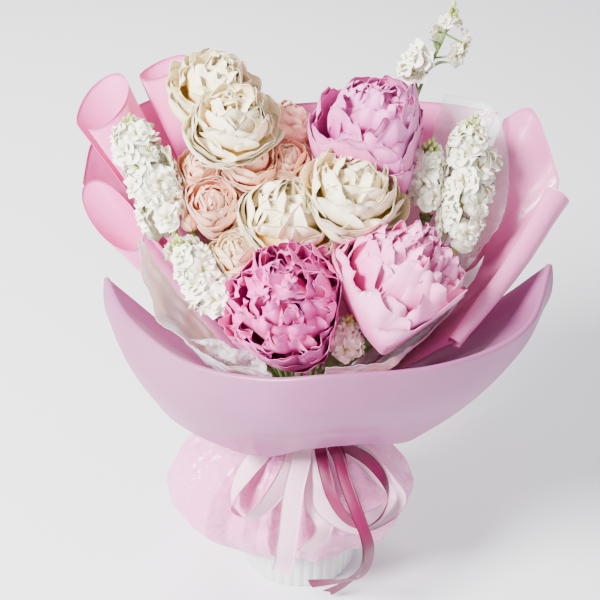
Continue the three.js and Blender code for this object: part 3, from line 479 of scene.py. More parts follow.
# %% Heads
BLOOMS = {
    "peony_1": ("peony", (62, 40, 479), 60, (0.1, -0.2, 1), "cool"),
    "peony_2": ("ragged", (-15, -78, 360), 62, (-0.15, -0.65, 0.8), "magenta"),
    "peony_3": ("cupped", (84, -67, 370), 69, (0.35, -0.12, 0.93), "blush"),
    "lisianthus_1": ("lisianthus", (-94, 72, 508), 42, (0.3, -0.3, 0.9), "cream"),
    "lisianthus_2": ("lisianthus", (-73, 20, 498), 41, (0.15, -0.5, 0.85), "cream"),
    "lisianthus_3": ("lisianthus", (-21, -5, 409), 57, (0.1, -0.6, 0.8), "cream"),
    "lisianthus_4": ("lisianthus", (41, -10, 444), 47, (0.2, -0.4, 0.9), "cream"),
    "spray_rose_1": ("rose", (-91, 0, 424), 32, (0, -0.7, 0.7), "peach"),
    "spray_rose_2": ("rose", (-106, 28, 445), 24, (0.1, -0.5, 0.85), "peach"),
    "spray_rose_3": ("rose", (-55, 17, 461), 28, (0.1, -0.4, 0.9), "peach"),
    "spray_rose_4": ("rose", (-24, 70, 474), 30, (0.3, 0.1, 0.95), "peach"),
    "spray_rose_5": ("rose", (-64, -30, 384), 32, (-0.2, -0.5, 0.85), "beige"),
    "spray_rose_6": ("rose", (-21, 30, 455), 27, (0.1, -0.45, 0.9), "peach"),
    "rose_bud": ("bud", (-113, -8, 410), 11, (-0.2, -0.4, 0.9), "peach"),
}
SPIKES = {
    "stock_1": ((-133, 0, 410), (-171, 30, 494), 36, 26),
    "stock_2": ((-84, -52, 352), (-120, -37, 402), 31, 18),
    "stock_3": ((145, 4, 396), (155, 38, 498), 39, 28),
    "stock_5": ((38, -85, 326), (40, -85, 350), 22, 10),
    "stock_6": ((115, 22, 430), (115, 28, 478), 30, 17),
    "stock_7": ((122, -37, 369), (126, -39, 391), 25, 11),
}
BODIES = {name: (vec(*at), vec(*at), radius) for name, (_, at, radius, _, _) in BLOOMS.items()}
BODIES.update({name: (vec(*low), vec(*high), radius) for name, (low, high, radius, _) in SPIKES.items()})
WALLS = [
    (unit(vec(0.05, -0.78, -0.62)), vec(0, -120, 316)),
    (unit(vec(-0.5, -0.6, -0.6)), vec(-80, -92, 332)),
    (unit(vec(0.6, -0.5, -0.62)), vec(102, -82, 335)),
    (unit(vec(0.9, 0.1, -0.42)), vec(176, 30, 430)),
]
print(len(BLOOMS), "blooms and", len(SPIKES), "spikes, between", len(WALLS), "walls")

# %% [markdown]
# Each net is pressed clear of its neighbours as a whole. The press starts gently before a plane, so that a
# petal shows no sharp fold where it meets one.

# %% Room for each head
def closest(one, other):
    """The shortest way between two bodies, tried at 13 points of each: its length and its ends."""
    share = np.linspace(0, 1, 13)[:, None]
    p, q = (mix(body[0], body[1], share) for body in (one, other))
    apart = np.linalg.norm(p[:, None] - q[None], axis=-1)
    i, j = np.unravel_index(apart.argmin(), apart.shape)
    return apart[i, j], p[i], q[j]


def planes_of(name):
    """The planes to a body's neighbours, and the walls.

    A plane is square to the shortest way between two bodies, and divides it as their radii do.
    """
    own = BODIES[name]
    planes = []
    for other, body in BODIES.items():
        if other == name:
            continue
        distance, p, q = closest(own, body)
        if distance < 1.35 * (own[2] + body[2]):
            planes.append((unit(q - p), mix(p, q, own[2] / (own[2] + body[2]))))
    return planes, WALLS


SOFTNESS, MARGIN, LET_PAST = 8.0, 0.45, 0.24


def keep_clear(points, bounds):
    """Points past a neighbour's plane are pressed most of the way back to it, and none passes a wall.

    Pressing starts half the softness before a plane and leaves a set share of the way past. Before a wall it
    grows without end, so that the margin is kept.
    """
    points = points.copy()
    neighbours, walls = bounds
    for normal, spot in neighbours:
        past = np.maximum((points - spot) @ normal + 0.5 * SOFTNESS, 0)
        held = LET_PAST * past + 0.5 * SOFTNESS * (1 - np.exp(-past / SOFTNESS)) - past
        points += np.minimum(held, 0)[..., None] * normal
    for normal, spot in walls:
        past = (points - spot) @ normal + MARGIN
        held = -SOFTNESS * np.exp(-(np.maximum(past, -SOFTNESS) + SOFTNESS) / SOFTNESS)
        points += np.where(past > -SOFTNESS, held - past, 0)[..., None] * normal
    return points


print(len(BODIES), "heads and spikes, which meet at", sum(len(planes_of(name)[0]) for name in BODIES) // 2, "planes")

# %% [markdown]
# ## Petals and blooms
#
# A double flower is a ball of petals in whorls, wide ones outside and crumpled ones within. A petal could be
# sculpted once and copied, but the copies show. Each is drawn by formula instead, with its own random waves.
# It starts at one angle from the bloom's axis and ends at another while its distance from the middle grows,
# so it lies like a scale on the ball below it. Its edge is notched, rounded and waves more than its root.

# %% Whorls
# count, from, to (degrees from the axis), inner, outer (shares of the radius), spread (degrees), wave
WHORLS = {
    "peony": [
        (6, 152, 80, 0.8, 1.2, 44, 0.05), (6, 136, 70, 0.78, 1.1, 40, 0.05), (7, 116, 58, 0.72, 1.06, 35, 0.05),
        (8, 102, 46, 0.6, 1.05, 31, 0.06), (8, 88, 36, 0.55, 1.04, 30, 0.07), (9, 74, 26, 0.5, 1.03, 28, 0.07),
        (8, 60, 16, 0.5, 1.02, 28, 0.08), (8, 47, 8, 0.48, 1.0, 26, 0.08), (7, 35, 0, 0.46, 0.99, 25, 0.09),
        (5, 23, -7, 0.45, 0.98, 24, 0.09), (4, 12, -12, 0.45, 0.95, 20, 0.08),
    ],
    "ragged": [
        (6, 152, 82, 0.78, 1.08, 42, 0.06), (7, 132, 72, 0.76, 1.06, 37, 0.07), (8, 112, 60, 0.7, 1.05, 31, 0.08),
        (10, 98, 50, 0.6, 1.04, 25, 0.1), (11, 84, 39, 0.55, 1.03, 23, 0.11), (11, 70, 28, 0.5, 1.03, 22, 0.11),
        (11, 56, 18, 0.5, 1.02, 21, 0.12), (9, 42, 8, 0.48, 1.01, 21, 0.12), (7, 29, 0, 0.45, 1.0, 21, 0.11),
        (4, 16, -8, 0.45, 0.98, 21, 0.1),
    ],
    "cupped": [
        (6, 154, 74, 0.78, 1.09, 44, 0.06), (6, 140, 66, 0.78, 1.08, 42, 0.06), (7, 120, 56, 0.74, 1.06, 37, 0.07),
        (8, 98, 44, 0.6, 1.04, 33, 0.07), (9, 82, 34, 0.5, 1.02, 29, 0.09), (10, 66, 24, 0.45, 1.01, 27, 0.1),
        (9, 50, 14, 0.42, 1.0, 26, 0.11), (8, 36, 5, 0.42, 0.99, 25, 0.11), (6, 24, -3, 0.4, 0.98, 24, 0.1),
        (4, 13, -10, 0.4, 0.95, 22, 0.08),
    ],
    "lisianthus": [
        (5, 152, 88, 0.66, 1.2, 60, 0.07), (5, 132, 76, 0.64, 1.13, 57, 0.07), (6, 112, 63, 0.6, 1.07, 50, 0.08),
        (6, 92, 50, 0.52, 1.03, 48, 0.08), (6, 76, 38, 0.46, 1.0, 46, 0.08), (6, 60, 27, 0.43, 0.97, 44, 0.08),
        (5, 45, 16, 0.4, 0.95, 44, 0.08), (5, 31, 6, 0.38, 0.93, 42, 0.07), (4, 18, -5, 0.36, 0.91, 38, 0.07),
    ],
    "rose": [
        (6, 150, 84, 0.7, 1.14, 44, 0.04), (6, 130, 72, 0.68, 1.08, 40, 0.04), (7, 110, 60, 0.62, 1.03, 35, 0.04),
        (8, 92, 48, 0.5, 1.0, 31, 0.04), (8, 74, 36, 0.45, 0.98, 29, 0.04), (8, 58, 26, 0.42, 0.96, 27, 0.04),
        (7, 44, 16, 0.4, 0.94, 26, 0.04), (6, 30, 7, 0.4, 0.92, 25, 0.03), (4, 17, -4, 0.4, 0.9, 24, 0.02),
    ],
    "bud": [
        (3, 150, 12, 0.5, 1.15, 60, 0.0), (3, 120, 4, 0.5, 1.05, 60, 0.0),
    ],
}
CORE_SHARE, SPIKE_FOOT = 0.62, 0.75
NOTCH = {"peony": 0.05, "ragged": 0.08, "cupped": 0.05, "lisianthus": 0.05, "rose": 0.02, "bud": 0.0}
ROUND = {"peony": 0.24, "ragged": 0.16, "cupped": 0.24, "lisianthus": 0.2, "rose": 0.2, "bud": 0.1}
PETAL_NET = {"peony": (13, 19), "ragged": (13, 19), "cupped": (13, 19), "lisianthus": (13, 23),
             "rose": (9, 13), "bud": (8, 9)}
print("petals:", {kind: sum(whorl[0] for whorl in whorls) for kind, whorls in WHORLS.items()})

# %% [markdown]
# The waves of a petal are sines, and their number and phase are drawn anew for each one, so that no two
# petals are alike.

# %% One petal
def petal_net(kind, whorl, turn, rng):
    """One petal about the origin, in shares of the bloom's radius.

    u runs across and v from root to edge. The angle from the axis goes from the whorl's start to its end, the
    turn about it spreads with u, and the distance grows from inner to outer, plus waves that grow with v.
    """
    _, start, end, inner, outer, spread, wave = whorl
    rows, columns = PETAL_NET[kind]
    u = np.linspace(-1, 1, columns)[None]
    v = np.linspace(0, 1, rows)[:, None]
    notch = NOTCH[kind]
    waves, phase, fast = rng.uniform(3, 5), rng.uniform(0, 2 * np.pi), rng.uniform(9, 13)
    rag = notch * (0.5 * np.sin(7 * u + phase) + 0.4 * np.sin(15 * u + 2 * phase)
                   - 1.2 * np.exp(-(((u - rng.uniform(-0.5, 0.5)) / 0.16) ** 2)))
    reach = v * (1 + rag * v - ROUND[kind] * u**4 * v)
    tilt = np.radians(start + rng.uniform(-7, 7) + (end - start + rng.uniform(-12, 12)) * (reach - 0.1 * u**2 * v))
    swing = np.radians(spread) * u * np.sin(np.pi * (0.2 + 0.36 * v)) * rng.uniform(0.85, 1.15)
    lip = rng.uniform(-0.12, 0.03) * np.clip((v - 0.62) / 0.38, 0, 1) ** 2
    rise = inner + (outer * rng.uniform(0.93, 1.05) - inner) * reach**0.8 + lip
    rise = rise + wave * v**2 * np.sin(waves * u + phase) + 0.55 * wave * v**3 * np.sin(2.6 * waves * u + 3 * phase)
    rise = rise + 0.3 * wave * v**6 * np.sin(fast * u + 5 * phase) - 0.05 * u**2 * v
    out = np.stack([np.sin(tilt) * np.cos(turn), np.sin(tilt) * np.sin(turn), np.cos(tilt)], -1)
    side = vec(-np.sin(turn), np.cos(turn), 0)
    return (out * np.cos(swing)[..., None] + side * np.sin(swing)[..., None]) * rise[..., None]

# %% [markdown]
# A bloom is its whorls, every second one shifted by half a petal to cover the gaps below, and a ball in the
# middle. Each petal is turned with the bloom and then pressed clear of its neighbours.

# %% Blooms
def make_bloom(name, seed):
    """All whorls of a head, and a ball inside so that no light shows through."""
    kind, centre, radius, faces, colour = BLOOMS[name]
    rng = np.random.default_rng(seed)
    turned, planes = turn_to(faces), planes_of(name)
    pile = Pile()
    for level, whorl in enumerate(WHORLS[kind]):
        for i in range(whorl[0]):
            turn = 2 * np.pi * (i + 0.5 * (level % 2) + rng.uniform(-0.14, 0.14)) / whorl[0]
            net = petal_net(kind, whorl, turn, rng) * radius @ turned.T + centre
            pile.shell(keep_clear(net, planes), 0.5, rng.uniform(0.25, 0.75))
    core = Pile()
    core.ball(vec(*centre), CORE_SHARE * radius, tone=0.2)
    pile.add(keep_clear(core.points[0], planes), core.quads[0], core.notes[0] * vec(1, 0, 1) + vec(0, 0.3, 0))
    slot = {"cool": "petal_cool_pink", "magenta": "petal_magenta_pink", "blush": "petal_pale_pink",
            "cream": "petal_cream", "peach": "petal_peach", "beige": "petal_beige"}[colour]
    show(name + "_petals", pile, PETALS[colour], "bud_peach_green" if kind == "bud" else slot, name)


for index, name in enumerate(BLOOMS):
    make_bloom(name, 40 + index)

# %% [markdown]
# ## Stocks
#
# A stock is a spike of small double florets. A floret is three rings of crimped petals, greenish at their
# roots. Florets follow each other up the spike by the golden angle, much as on the plant, so that no two
# line up, and green buds close its tip.

# %% One floret
def add_floret(pile, centre, normal, radius, rng, place):
    """Three rings of fan-shaped petals; `place` moves their points clear of neighbours."""
    turned = turn_to(normal)
    spin = rng.uniform(0, 2 * np.pi)
    for ring, (size, lift, count) in enumerate(((1.0, 0.1, 4), (0.76, 0.34, 4), (0.46, 0.5, 3))):
        for i in range(count):
            turn = spin + ring * 0.7 + 2 * np.pi * (i + rng.uniform(-0.14, 0.14)) / count
            u = np.linspace(-1, 1, 9)[None]
            v = np.linspace(0, 1, 6)[:, None]
            wide = 0.86 * np.sin(np.pi * (0.06 + 0.56 * v))
            fan = turn + 1.05 * u * wide
            phase = rng.uniform(0, 6)
            far = size * v * (1 - 0.16 * u**2 + 0.06 * np.sin(7 * u + phase)) * rng.uniform(0.85, 1.12)
            up = lift * rng.uniform(0.7, 1.4) * np.sin(1.7 * v) + 0.16 * v**2 * np.sin(4.5 * u + phase) - 0.12 * v**3
            net = np.stack([far * np.cos(fan), far * np.sin(fan), up + 0 * fan], -1) * radius
            pile.shell(place(net @ turned.T + centre), 0.4, rng.uniform(0.45, 0.75))

# %% [markdown]
# The florets sit round the spike and face outwards, more upwards near its tip.

# %% Spikes
def make_spike(name, seed):
    """Florets by the golden angle, smaller towards the tip, on a short stalk with buds."""
    low, high, radius, count = SPIKES[name]
    low, high = vec(*low), vec(*high)
    rng = np.random.default_rng(seed)
    planes = planes_of(name)
    place = lambda p: keep_clear(p, planes)
    direction = unit(high - low)
    side, over = turn_to(direction).T[:2]
    pile, green = Pile(), Pile()
    for i in range(count):
        k = (i + 0.4) / count
        turn = i * GOLDEN_ANGLE + rng.uniform(-0.2, 0.2)
        out = side * np.cos(turn) + over * np.sin(turn)
        girth = radius * (1 - 0.45 * k**2) * rng.uniform(0.85, 1.1)
        centre = mix(low - 0.1 * radius * direction, high, k) + out * 0.52 * girth + rng.normal(size=3) * 1.5
        normal = unit(out + direction * (0.1 + 0.9 * k**2) + 0.25 * rng.normal(size=3))
        add_floret(pile, centre, normal, min(0.66 * girth, 17) * rng.uniform(0.85, 1.12), rng, place)
    for i in range(9):
        turn = i * GOLDEN_ANGLE
        out = side * np.cos(turn) + over * np.sin(turn)
        spot = mix(low, high, 0.97) + out * radius * 0.24 * (1 - i / 12) + direction * radius * 0.04 * i
        green.ball(place(spot), vec(2.4, 2.4, 4.2) * (1 - 0.03 * i), unit(direction + 0.5 * out), rng.random())
    foot = low - direction * SPIKE_FOOT * radius
    green.tube([foot, low, mix(low, high, 0.5), high], [3.2, 3, 2.4, 1.6])
    show(name + "_florets", pile, PETALS["white"], "stock_white", name)
    show(name + "_buds", green, BUD, "stem_green", name)


for index, name in enumerate(SPIKES):
    make_spike(name, 70 + index)

# %% [markdown]
# ## Stems
#
# A stem stands in the water, passes through the tie and curves up to the calyx under its head. Little of it
# is seen, but it has to be where the solid is. It is a tube along a smooth curve, whose points are pushed
# sideways out of any other head in the way.

# %% Stem table
GATHER_LOW, GATHER_HIGH = 189, 207
FOOT, SPREAD = 12, 1.05
SEAT = {"peony": 0.66, "ragged": 0.66, "cupped": 0.62, "lisianthus": 0.46, "rose": 0.52, "bud": 0.7}
STEMS = {
    "peony_stem_1": ((5, 4), 3, ["peony_1"]),
    "peony_stem_2": ((-2, -15), 3, ["peony_2"]),
    "peony_stem_3": ((9, -12), 3, ["peony_3"]),
    "lisianthus_stem_1": ((-11, 15), 2, ["lisianthus_1"]),
    "lisianthus_stem_2": ((-8, 7), 2, ["lisianthus_2"]),
    "lisianthus_stem_3": ((-3, -2), 2, ["lisianthus_3"]),
    "lisianthus_stem_4": ((5, -4), 2, ["lisianthus_4"]),
    "rose_stem_1": ((-15, 0), 2.2, ["spray_rose_1", "spray_rose_2", "rose_bud"]),
    "rose_stem_2": ((-2, 10), 2.2, ["spray_rose_3", "spray_rose_4", "spray_rose_6"]),
    "rose_stem_3": ((-10, -8), 2.2, ["spray_rose_5"]),
    "stock_stem_1": ((-20, 6), 2.4, ["stock_1"]),
    "stock_stem_2": ((-17, -11), 2.4, ["stock_2"]),
    "stock_stem_3": ((19, 8), 2.4, ["stock_3"]),
    "stock_stem_5": ((5, -19), 2.4, ["stock_5"]),
    "stock_stem_6": ((13, 6), 2.4, ["stock_6"]),
    "stock_stem_7": ((16, -8), 2.4, ["stock_7"]),
}
print(len(STEMS), "stems for", sum(len(heads) for _, _, heads in STEMS.values()), "heads")

# %% [markdown]
# Below the tie a stem is straight, as the tie and the vase hold it. Above it, a Bezier curve takes it to
# its head.

# %% The way of a stem
def below_tie(neck, z):
    """Where a stem lies below the tie: its place in the tie, spread in step with the depth."""
    share = 1 + SPREAD * (GATHER_LOW - z) / GATHER_LOW
    return vec(neck[0] * share, neck[1] * share, z)


def seat_of(head):
    """Where a stem meets its head, and the way it points there."""
    if head in BLOOMS:
        kind, centre, radius, faces, _ = BLOOMS[head]
        up = unit(vec(*faces))
        return keep_clear((vec(*centre) - up * SEAT[kind] * radius)[None], planes_of(head))[0], up
    low, high, radius, _ = SPIKES[head]
    up = unit(vec(*high) - vec(*low))
    return vec(*low) - SPIKE_FOOT * radius * up, up


def bend_clear(path, own, thickness):
    """In thirty rounds, inner points too near another head move level, by about a third of what they lack."""
    for _ in range(30):
        for i in range(1, len(path) - 1):
            for name, body in BODIES.items():
                if name in own:
                    continue
                distance, _, q = closest((path[i], path[i], 0), body)
                wanted = 1.12 * body[2] + thickness + 2.5
                if distance < wanted:
                    path[i] += unit((path[i] - q) * vec(1, 1, 0)) * 0.35 * (wanted - distance)
    return path


def stem_path(start, seat, up, own, thickness):
    """Five points of a Bezier curve that leaves the tie steeply and turns part way to the head's axis."""
    span = np.linalg.norm(seat - start)
    early = start + unit(vec(start[0] * 0.012, start[1] * 0.012, 1)) * 0.3 * span
    late = seat - (unit(seat - start) * 0.6 + up * 0.4) * 0.3 * span
    k = np.linspace(0, 1, 5)[:, None]
    bezier = ((1 - k) ** 3 * start + 3 * (1 - k) ** 2 * k * early + 3 * (1 - k) * k**2 * late + k**3 * seat)
    return bend_clear(bezier, own, thickness)

# %% [markdown]
# Leaves and sepals are strips that swell and narrow to a tip, so they are nets like the petals.

# %% Leaves and sepals
def add_leaf(pile, root, tip, width, rng, curl=0.15):
    """A lance-shaped leaf, folded along its rib and waved along its edge."""
    heading = tip - root
    across = unit(np.cross(heading, vec(0, 0, 1)))
    arch = unit(np.cross(across, heading)) * curl * np.linalg.norm(heading)
    v, u = np.linspace(0, 1, 18)[:, None, None], np.linspace(-1, 1, 9)[None, :, None]
    half = 0.5 * width * np.maximum(np.sin(np.pi * v**0.8) ** 0.9, 0.09 * (1 - v))
    wave = 0.05 * width * np.sin(14 * v + rng.uniform(0, 6)) * u**2
    net = mix(root, tip, v) + across * u * half + arch * (np.sin(np.pi * v) + 0.3 * np.abs(u) * np.sin(np.pi * v))
    pile.shell(net + unit(arch) * wave, 0.5, rng.random())


def add_calyx(pile, seat, up, radius, rng):
    """Sepals that open from the end of a stem and hold its head."""
    side, over = turn_to(up).T[:2]
    for i in range(5):
        turn = 2 * np.pi * i / 5 + rng.uniform(-0.1, 0.1)
        out = side * np.cos(turn) + over * np.sin(turn)
        along_ring = np.cross(up, out)
        v, u = np.linspace(0, 1, 8)[:, None, None], np.linspace(-1, 1, 5)[None, :, None]
        half = 1.5 * radius * np.sin(np.pi * (0.12 + 0.85 * v))
        net = (seat + out * radius * (0.8 + 2.2 * np.sin(1.4 * v)) + up * radius * (2.6 * v**1.5 - 0.8)
               + along_ring * u * half - out * 0.4 * radius * u**2)
        pile.shell(net, 0.5, rng.random())

# %% [markdown]
# Where a stem carries several heads, the others leave it at the top of the tie, where it does not show.

# %% Stems
def make_stem(name, seed):
    """The stalk, with a branch, a calyx and two leaves for each head."""
    neck, radius, heads = STEMS[name]
    rng = np.random.default_rng(seed)
    pile, leaves = Pile(), Pile()
    gate = vec(*neck, GATHER_HIGH)
    for i, head in enumerate(heads):
        seat, up = seat_of(head)
        path = stem_path(gate, seat, up, heads, radius)
        lower = [below_tie(neck, FOOT), below_tie(neck, 100), below_tie(neck, GATHER_LOW)] if i == 0 else []
        points = along(np.array([*lower, *path]), np.linspace(0, 1, 60))
        swell = 1 + 0.12 * np.exp(-(((np.linspace(0, 1, 60) * 6) % 1 - 0.5) / 0.08) ** 2)
        radii = radius * swell
        radii[-4:] *= (1.1, 1.3, 1.8, 2.2)
        pile.tube(points, radii, tone=rng.random())
        add_calyx(pile, seat, up, radius, rng)
        for k in (0.5, 0.68):
            root = along(path, np.array([k]))[0]
            turn = rng.uniform(0, 2 * np.pi)
            reach = vec(np.cos(turn), np.sin(turn), 1.2) * rng.uniform(20, 30)
            add_leaf(leaves, root, root + reach, 9 + 5 * rng.random(), rng)
    show(name + "_stalk", pile, GREEN, "stem_green", name)
    show(name + "_leaves", leaves, LEAF, "stem_green", name)


for index, name in enumerate(STEMS):
    make_stem(name, 90 + index)

# %% [markdown]
# ## The tall stock
#
# This one rises above the bunch: a bare stalk with a few florets, buds and two leaves. They are too few to
# show a spiral, so each is placed one by one, and joined to the stalk at the point nearest to a little below it.

# %% The tall stock
STALK = np.array([[107, 105, 503], [111, 99, 520], [119, 98, 542], [128, 96, 568], [134, 94, 596]], float)
TALL_NECK = (11, 15)
TALL_FLORETS = [((94, 97, 534), 13), ((101, 102, 521), 12), ((110, 90, 543), 11), ((100, 90, 548), 11),
                ((145, 96, 559), 12), ((138, 88, 549), 11), ((123, 100, 568), 10), ((136, 99, 578), 9),
                ((128, 90, 582), 8)]
TALL_BUDS = [((131, 94, 586), 2.6), ((136, 95, 590), 2.8), ((134, 94, 598), 2.6), ((131, 91, 594), 2.3),
             ((137, 92, 583), 2.4), ((126, 99, 577), 2.2), ((133, 97, 593), 2.3)]


def make_tall_stock():
    """Stalk, florets, buds and leaves of the tall one."""
    rng = np.random.default_rng(120)
    white, green, buds = Pile(), Pile(), Pile()
    lower = stem_path(vec(*TALL_NECK, GATHER_HIGH), STALK[0], unit(STALK[1] - STALK[0]), [], 2.2)[:-1]
    path = np.array([below_tie(TALL_NECK, FOOT), below_tie(TALL_NECK, GATHER_LOW), *lower, *STALK])
    points = along(path, np.linspace(0, 1, 90))
    green.tube(points, np.linspace(2.2, 1.5, 90))
    for spot, radius in TALL_FLORETS:
        centre = vec(*spot)
        root = STALK[np.linalg.norm(STALK - centre - vec(0, 0, -8), axis=1).argmin()]
        out = unit(centre - root)
        green.tube(along(np.array([root, mix(root, centre, 0.6), centre]), np.linspace(0, 1, 8)), 1.1)
        add_floret(white, centre, out, 1.3 * radius, rng, lambda p: p)
    for spot, radius in TALL_BUDS:
        centre = vec(*spot)
        root = points[np.linalg.norm(points - centre - vec(0, 0, -5), axis=1).argmin()]
        green.tube(np.linspace(root, centre, 5), 0.8)
        buds.ball(centre, vec(1, 1, 1.6) * radius, unit(centre - root), rng.random())
    add_leaf(green, vec(111, 99, 522), vec(140, 92, 540), 8, rng)
    add_leaf(green, vec(122, 97, 548), vec(112, 84, 566), 7, rng)
    show("stock_4_stalk", green, GREEN, "stem_green", "stock_4")
    show("stock_4_florets", white, PETALS["white"], "stock_white", "stock_4")
    show("stock_4_buds", buds, BUD, "stem_green", "stock_4")


make_tall_stock()

# %% [markdown]
# ## Sheets of film and tissue
#
# Every sheet is gathered in the tie, rises from there and flares to its free edge. Cloth simulation could
# drape it, but the edge has to end where the solid's does. So a sheet is a blend from an arc at the tie to a
# curve at its edge, swollen in between. Folds run up from the tie and fade, and a ripple creases the film.

# %% Sheet tables
GATHER = {
    "cellophane_front": (24.2, 212, 288), "cellophane_right": (24.2, -36, 36), "tissue_left": (25.4, 194, 262),
    "tissue_right": (25.4, 322, 268), "wrap_back": (32.4, 173, 20), "wrap_right": (28.4, 18, -62),
    "wrap_front": (32.4, 197, 357),
}
PANELS = {
    "wrap_back": ((16, 16), [(-224, 60, 416), (-216, 112, 445), (-160, 150, 470), (-98, 160, 468), (-40, 160, 462),
                             (50, 158, 470), (132, 142, 476), (189, 112, 480)]),
    "wrap_right": ((26, 0), [(192, 96, 480), (214, 64, 505), (238, 44, 458), (240, 24, 434), (197, -32, 388),
                             (136, -100, 340)]),
    "tissue_left": ((8, 8), [(-162, -14, 398), (-156, -38, 367), (-132, -72, 338), (-105, -98, 330),
                             (-73, -121, 327), (-30, -136, 326)]),
    "tissue_right": ((8, 8), [(167, -28, 394), (155, -52, 371), (115, -87, 338), (89, -110, 333), (56, -126, 330),
                              (20, -134, 330)]),
    "cellophane_front": ((6, 6), [(-106, -88, 334), (-84, -104, 340), (-58, -117, 336), (-34, -128, 330)]),
    "cellophane_right": ((10, 16), [(184, 2, 406), (193, 24, 430), (194, 54, 460), (178, 80, 498), (132, 98, 506)]),
}
# folds: how many run up the sheet, and how high in millimetres; crumple: its height and its size
FOLDS = {"wrap_back": (7, 1.6), "wrap_right": (4, 1.4), "tissue_left": (9, 1.2), "tissue_right": (9, 1.2),
         "cellophane_front": (7, 1.0), "cellophane_right": (6, 1.0)}
CRUMPLE = {"wrap_back": (1.0, 60), "wrap_right": (1.0, 70), "tissue_left": (2.2, 22), "tissue_right": (2.2, 24),
           "cellophane_front": (3.0, 16), "cellophane_right": (2.4, 24)}
print(len(PANELS), "panels with", sum(count for count, _ in FOLDS.values()), "folds")

# %% [markdown]
# Each sheet runs on down into the tie, so that no gap shows there.

# %% Helpers for sheets
def at_tie(name, s):
    """A sheet's arc at the top of the tie."""
    radius, start, end = GATHER[name]
    return on_ring(radius, mix(start, end, s), GATHER_HIGH)


def in_tie(net, t):
    """Rows below zero go straight down through the tie."""
    net[..., 2] = np.where(t < 0, mix(GATHER_HIGH, GATHER_LOW, -t), net[..., 2])
    return net


def rising(rows):
    """Shares of a sheet's length at its rows: those below zero lie inside the tie."""
    return np.concatenate([[-1, -0.5], np.linspace(0, 1, rows)])


def crumpled(net, height, size, seed, grow):
    """A net creased along its normals, more where grow is larger."""
    heave = ripples(net, size, seed) + 0.5 * np.abs(ripples(net, size * 0.45, seed + 1))
    return net + normals(net) * (height * heave * grow)[..., None]


def sheet_size(net):
    """The mean length of the modelled net's rows and of its columns, in metres.

    It is measured from the model, as the sheet's cut isn't known, so it isn't a second opinion on its size.
    """
    across = np.linalg.norm(np.diff(net, axis=1), axis=-1).sum(1).mean()
    up = np.linalg.norm(np.diff(net, axis=0), axis=-1).sum(0).mean()
    return float(across * MM), float(up * MM)


def show_sheet(name, net, thickness, material, slot, ring=False):
    """A net as a sheet that stands for its solid."""
    pile = Pile()
    pile.shell(net, thickness, ring=ring)
    piece = show(name + "_sheet", pile, material, slot, name)
    print("  as modelled, %.3f by %.3f m" % sheet_size(net))

# %% [markdown]
# Six sheets are panels between an arc and an edge. Tissue and clear film are thinner than coloured film, so
# they are crumpled more.

# %% Panels
def panel_net(name, rows=70, columns=110):
    """Tie arc to edge curve, plus a swell of one half wave up the sheet and folds that fade at both ends."""
    belly, edge = PANELS[name]
    t, s = rising(rows)[:, None], np.linspace(0, 1, columns)[None]
    top = along(edge, s[0])[None]
    k = np.maximum(t, 0)[..., None]
    count, high = FOLDS[name]
    swell = mix(*belly, s[..., None]) * np.sin(np.pi * k)
    fold = high * np.sin(2 * np.pi * count * s[..., None] + 2 * s[..., None]) * np.sin(np.pi * k**0.6)
    net = mix(at_tie(name, s), top, k) + outward(top) * (swell + fold)
    net = in_tie(net, t + 0 * s)
    height, size = CRUMPLE[name]
    return crumpled(net, height, size, len(name), smooth(1.6 * np.maximum(t, 0)) + 0 * s)


for name, material, slot in (("wrap_back", FILM, "wrap_film_pink"), ("tissue_left", TISSUE, "tissue_blush"),
                             ("tissue_right", TISSUE, "tissue_blush"),
                             ("cellophane_front", CELLOPHANE, "cellophane_clear"),
                             ("cellophane_right", CELLOPHANE, "cellophane_clear")):
    show_sheet(name, panel_net(name), 0.4, material, slot)

# %% [markdown]
# The right sheet's front edge is rolled over into a slim tube with an open mouth.

# %% The rolled edge
HEM_PATH = [(240, 22, 434), (198, -32, 389), (138, -100, 341)]


def hem_net(rows=60, columns=60):
    """A spiral of just over one turn carried along a path, narrowing as it goes."""
    t = np.linspace(0, 1, rows)
    path = along(HEM_PATH, t)
    side, over = frames(path)
    turn = np.radians(200 + 380 * np.linspace(0, 1, columns))[None, :, None]
    radius = (mix(13, 7, t)[:, None] * (1 - 0.14 * np.linspace(0, 1, columns)[None]))[..., None]
    return path[:, None] + radius * (np.cos(turn) * side[:, None] + np.sin(turn) * over[:, None])


right = panel_net("wrap_right")
# The right sheet and its rolled edge take the darker copy of the pink film, which is painted shade.
show_sheet("wrap_right", right, 0.5, PAINTED_SHADE_FILM, "wrap_film_pink")
hem = Pile()
hem.shell(crumpled(hem_net(), 0.5, 40, 5, 1.0), 0.5)
show("wrap_right_hem", hem, PAINTED_SHADE_FILM, "wrap_film_pink", "wrap_right")

# %% [markdown]
# Three sheets on the left are rolled into open cones. `heading` is the roll's direction from the tie, `seam`
# and `cut` are turns about its axis, and the mouth is cut back on the cut's side.

# %% Rolled sheets
ROLLS = {
    "wrap_left_back": (126, (-146, 116, 518), 25, 60, 144, 6),
    "wrap_left": (159, (-203, 84, 494), 30, 50, 100, 18),
    "wrap_left_front": (184, (-193, 35, 394), 20, 150, 95, 38),
}


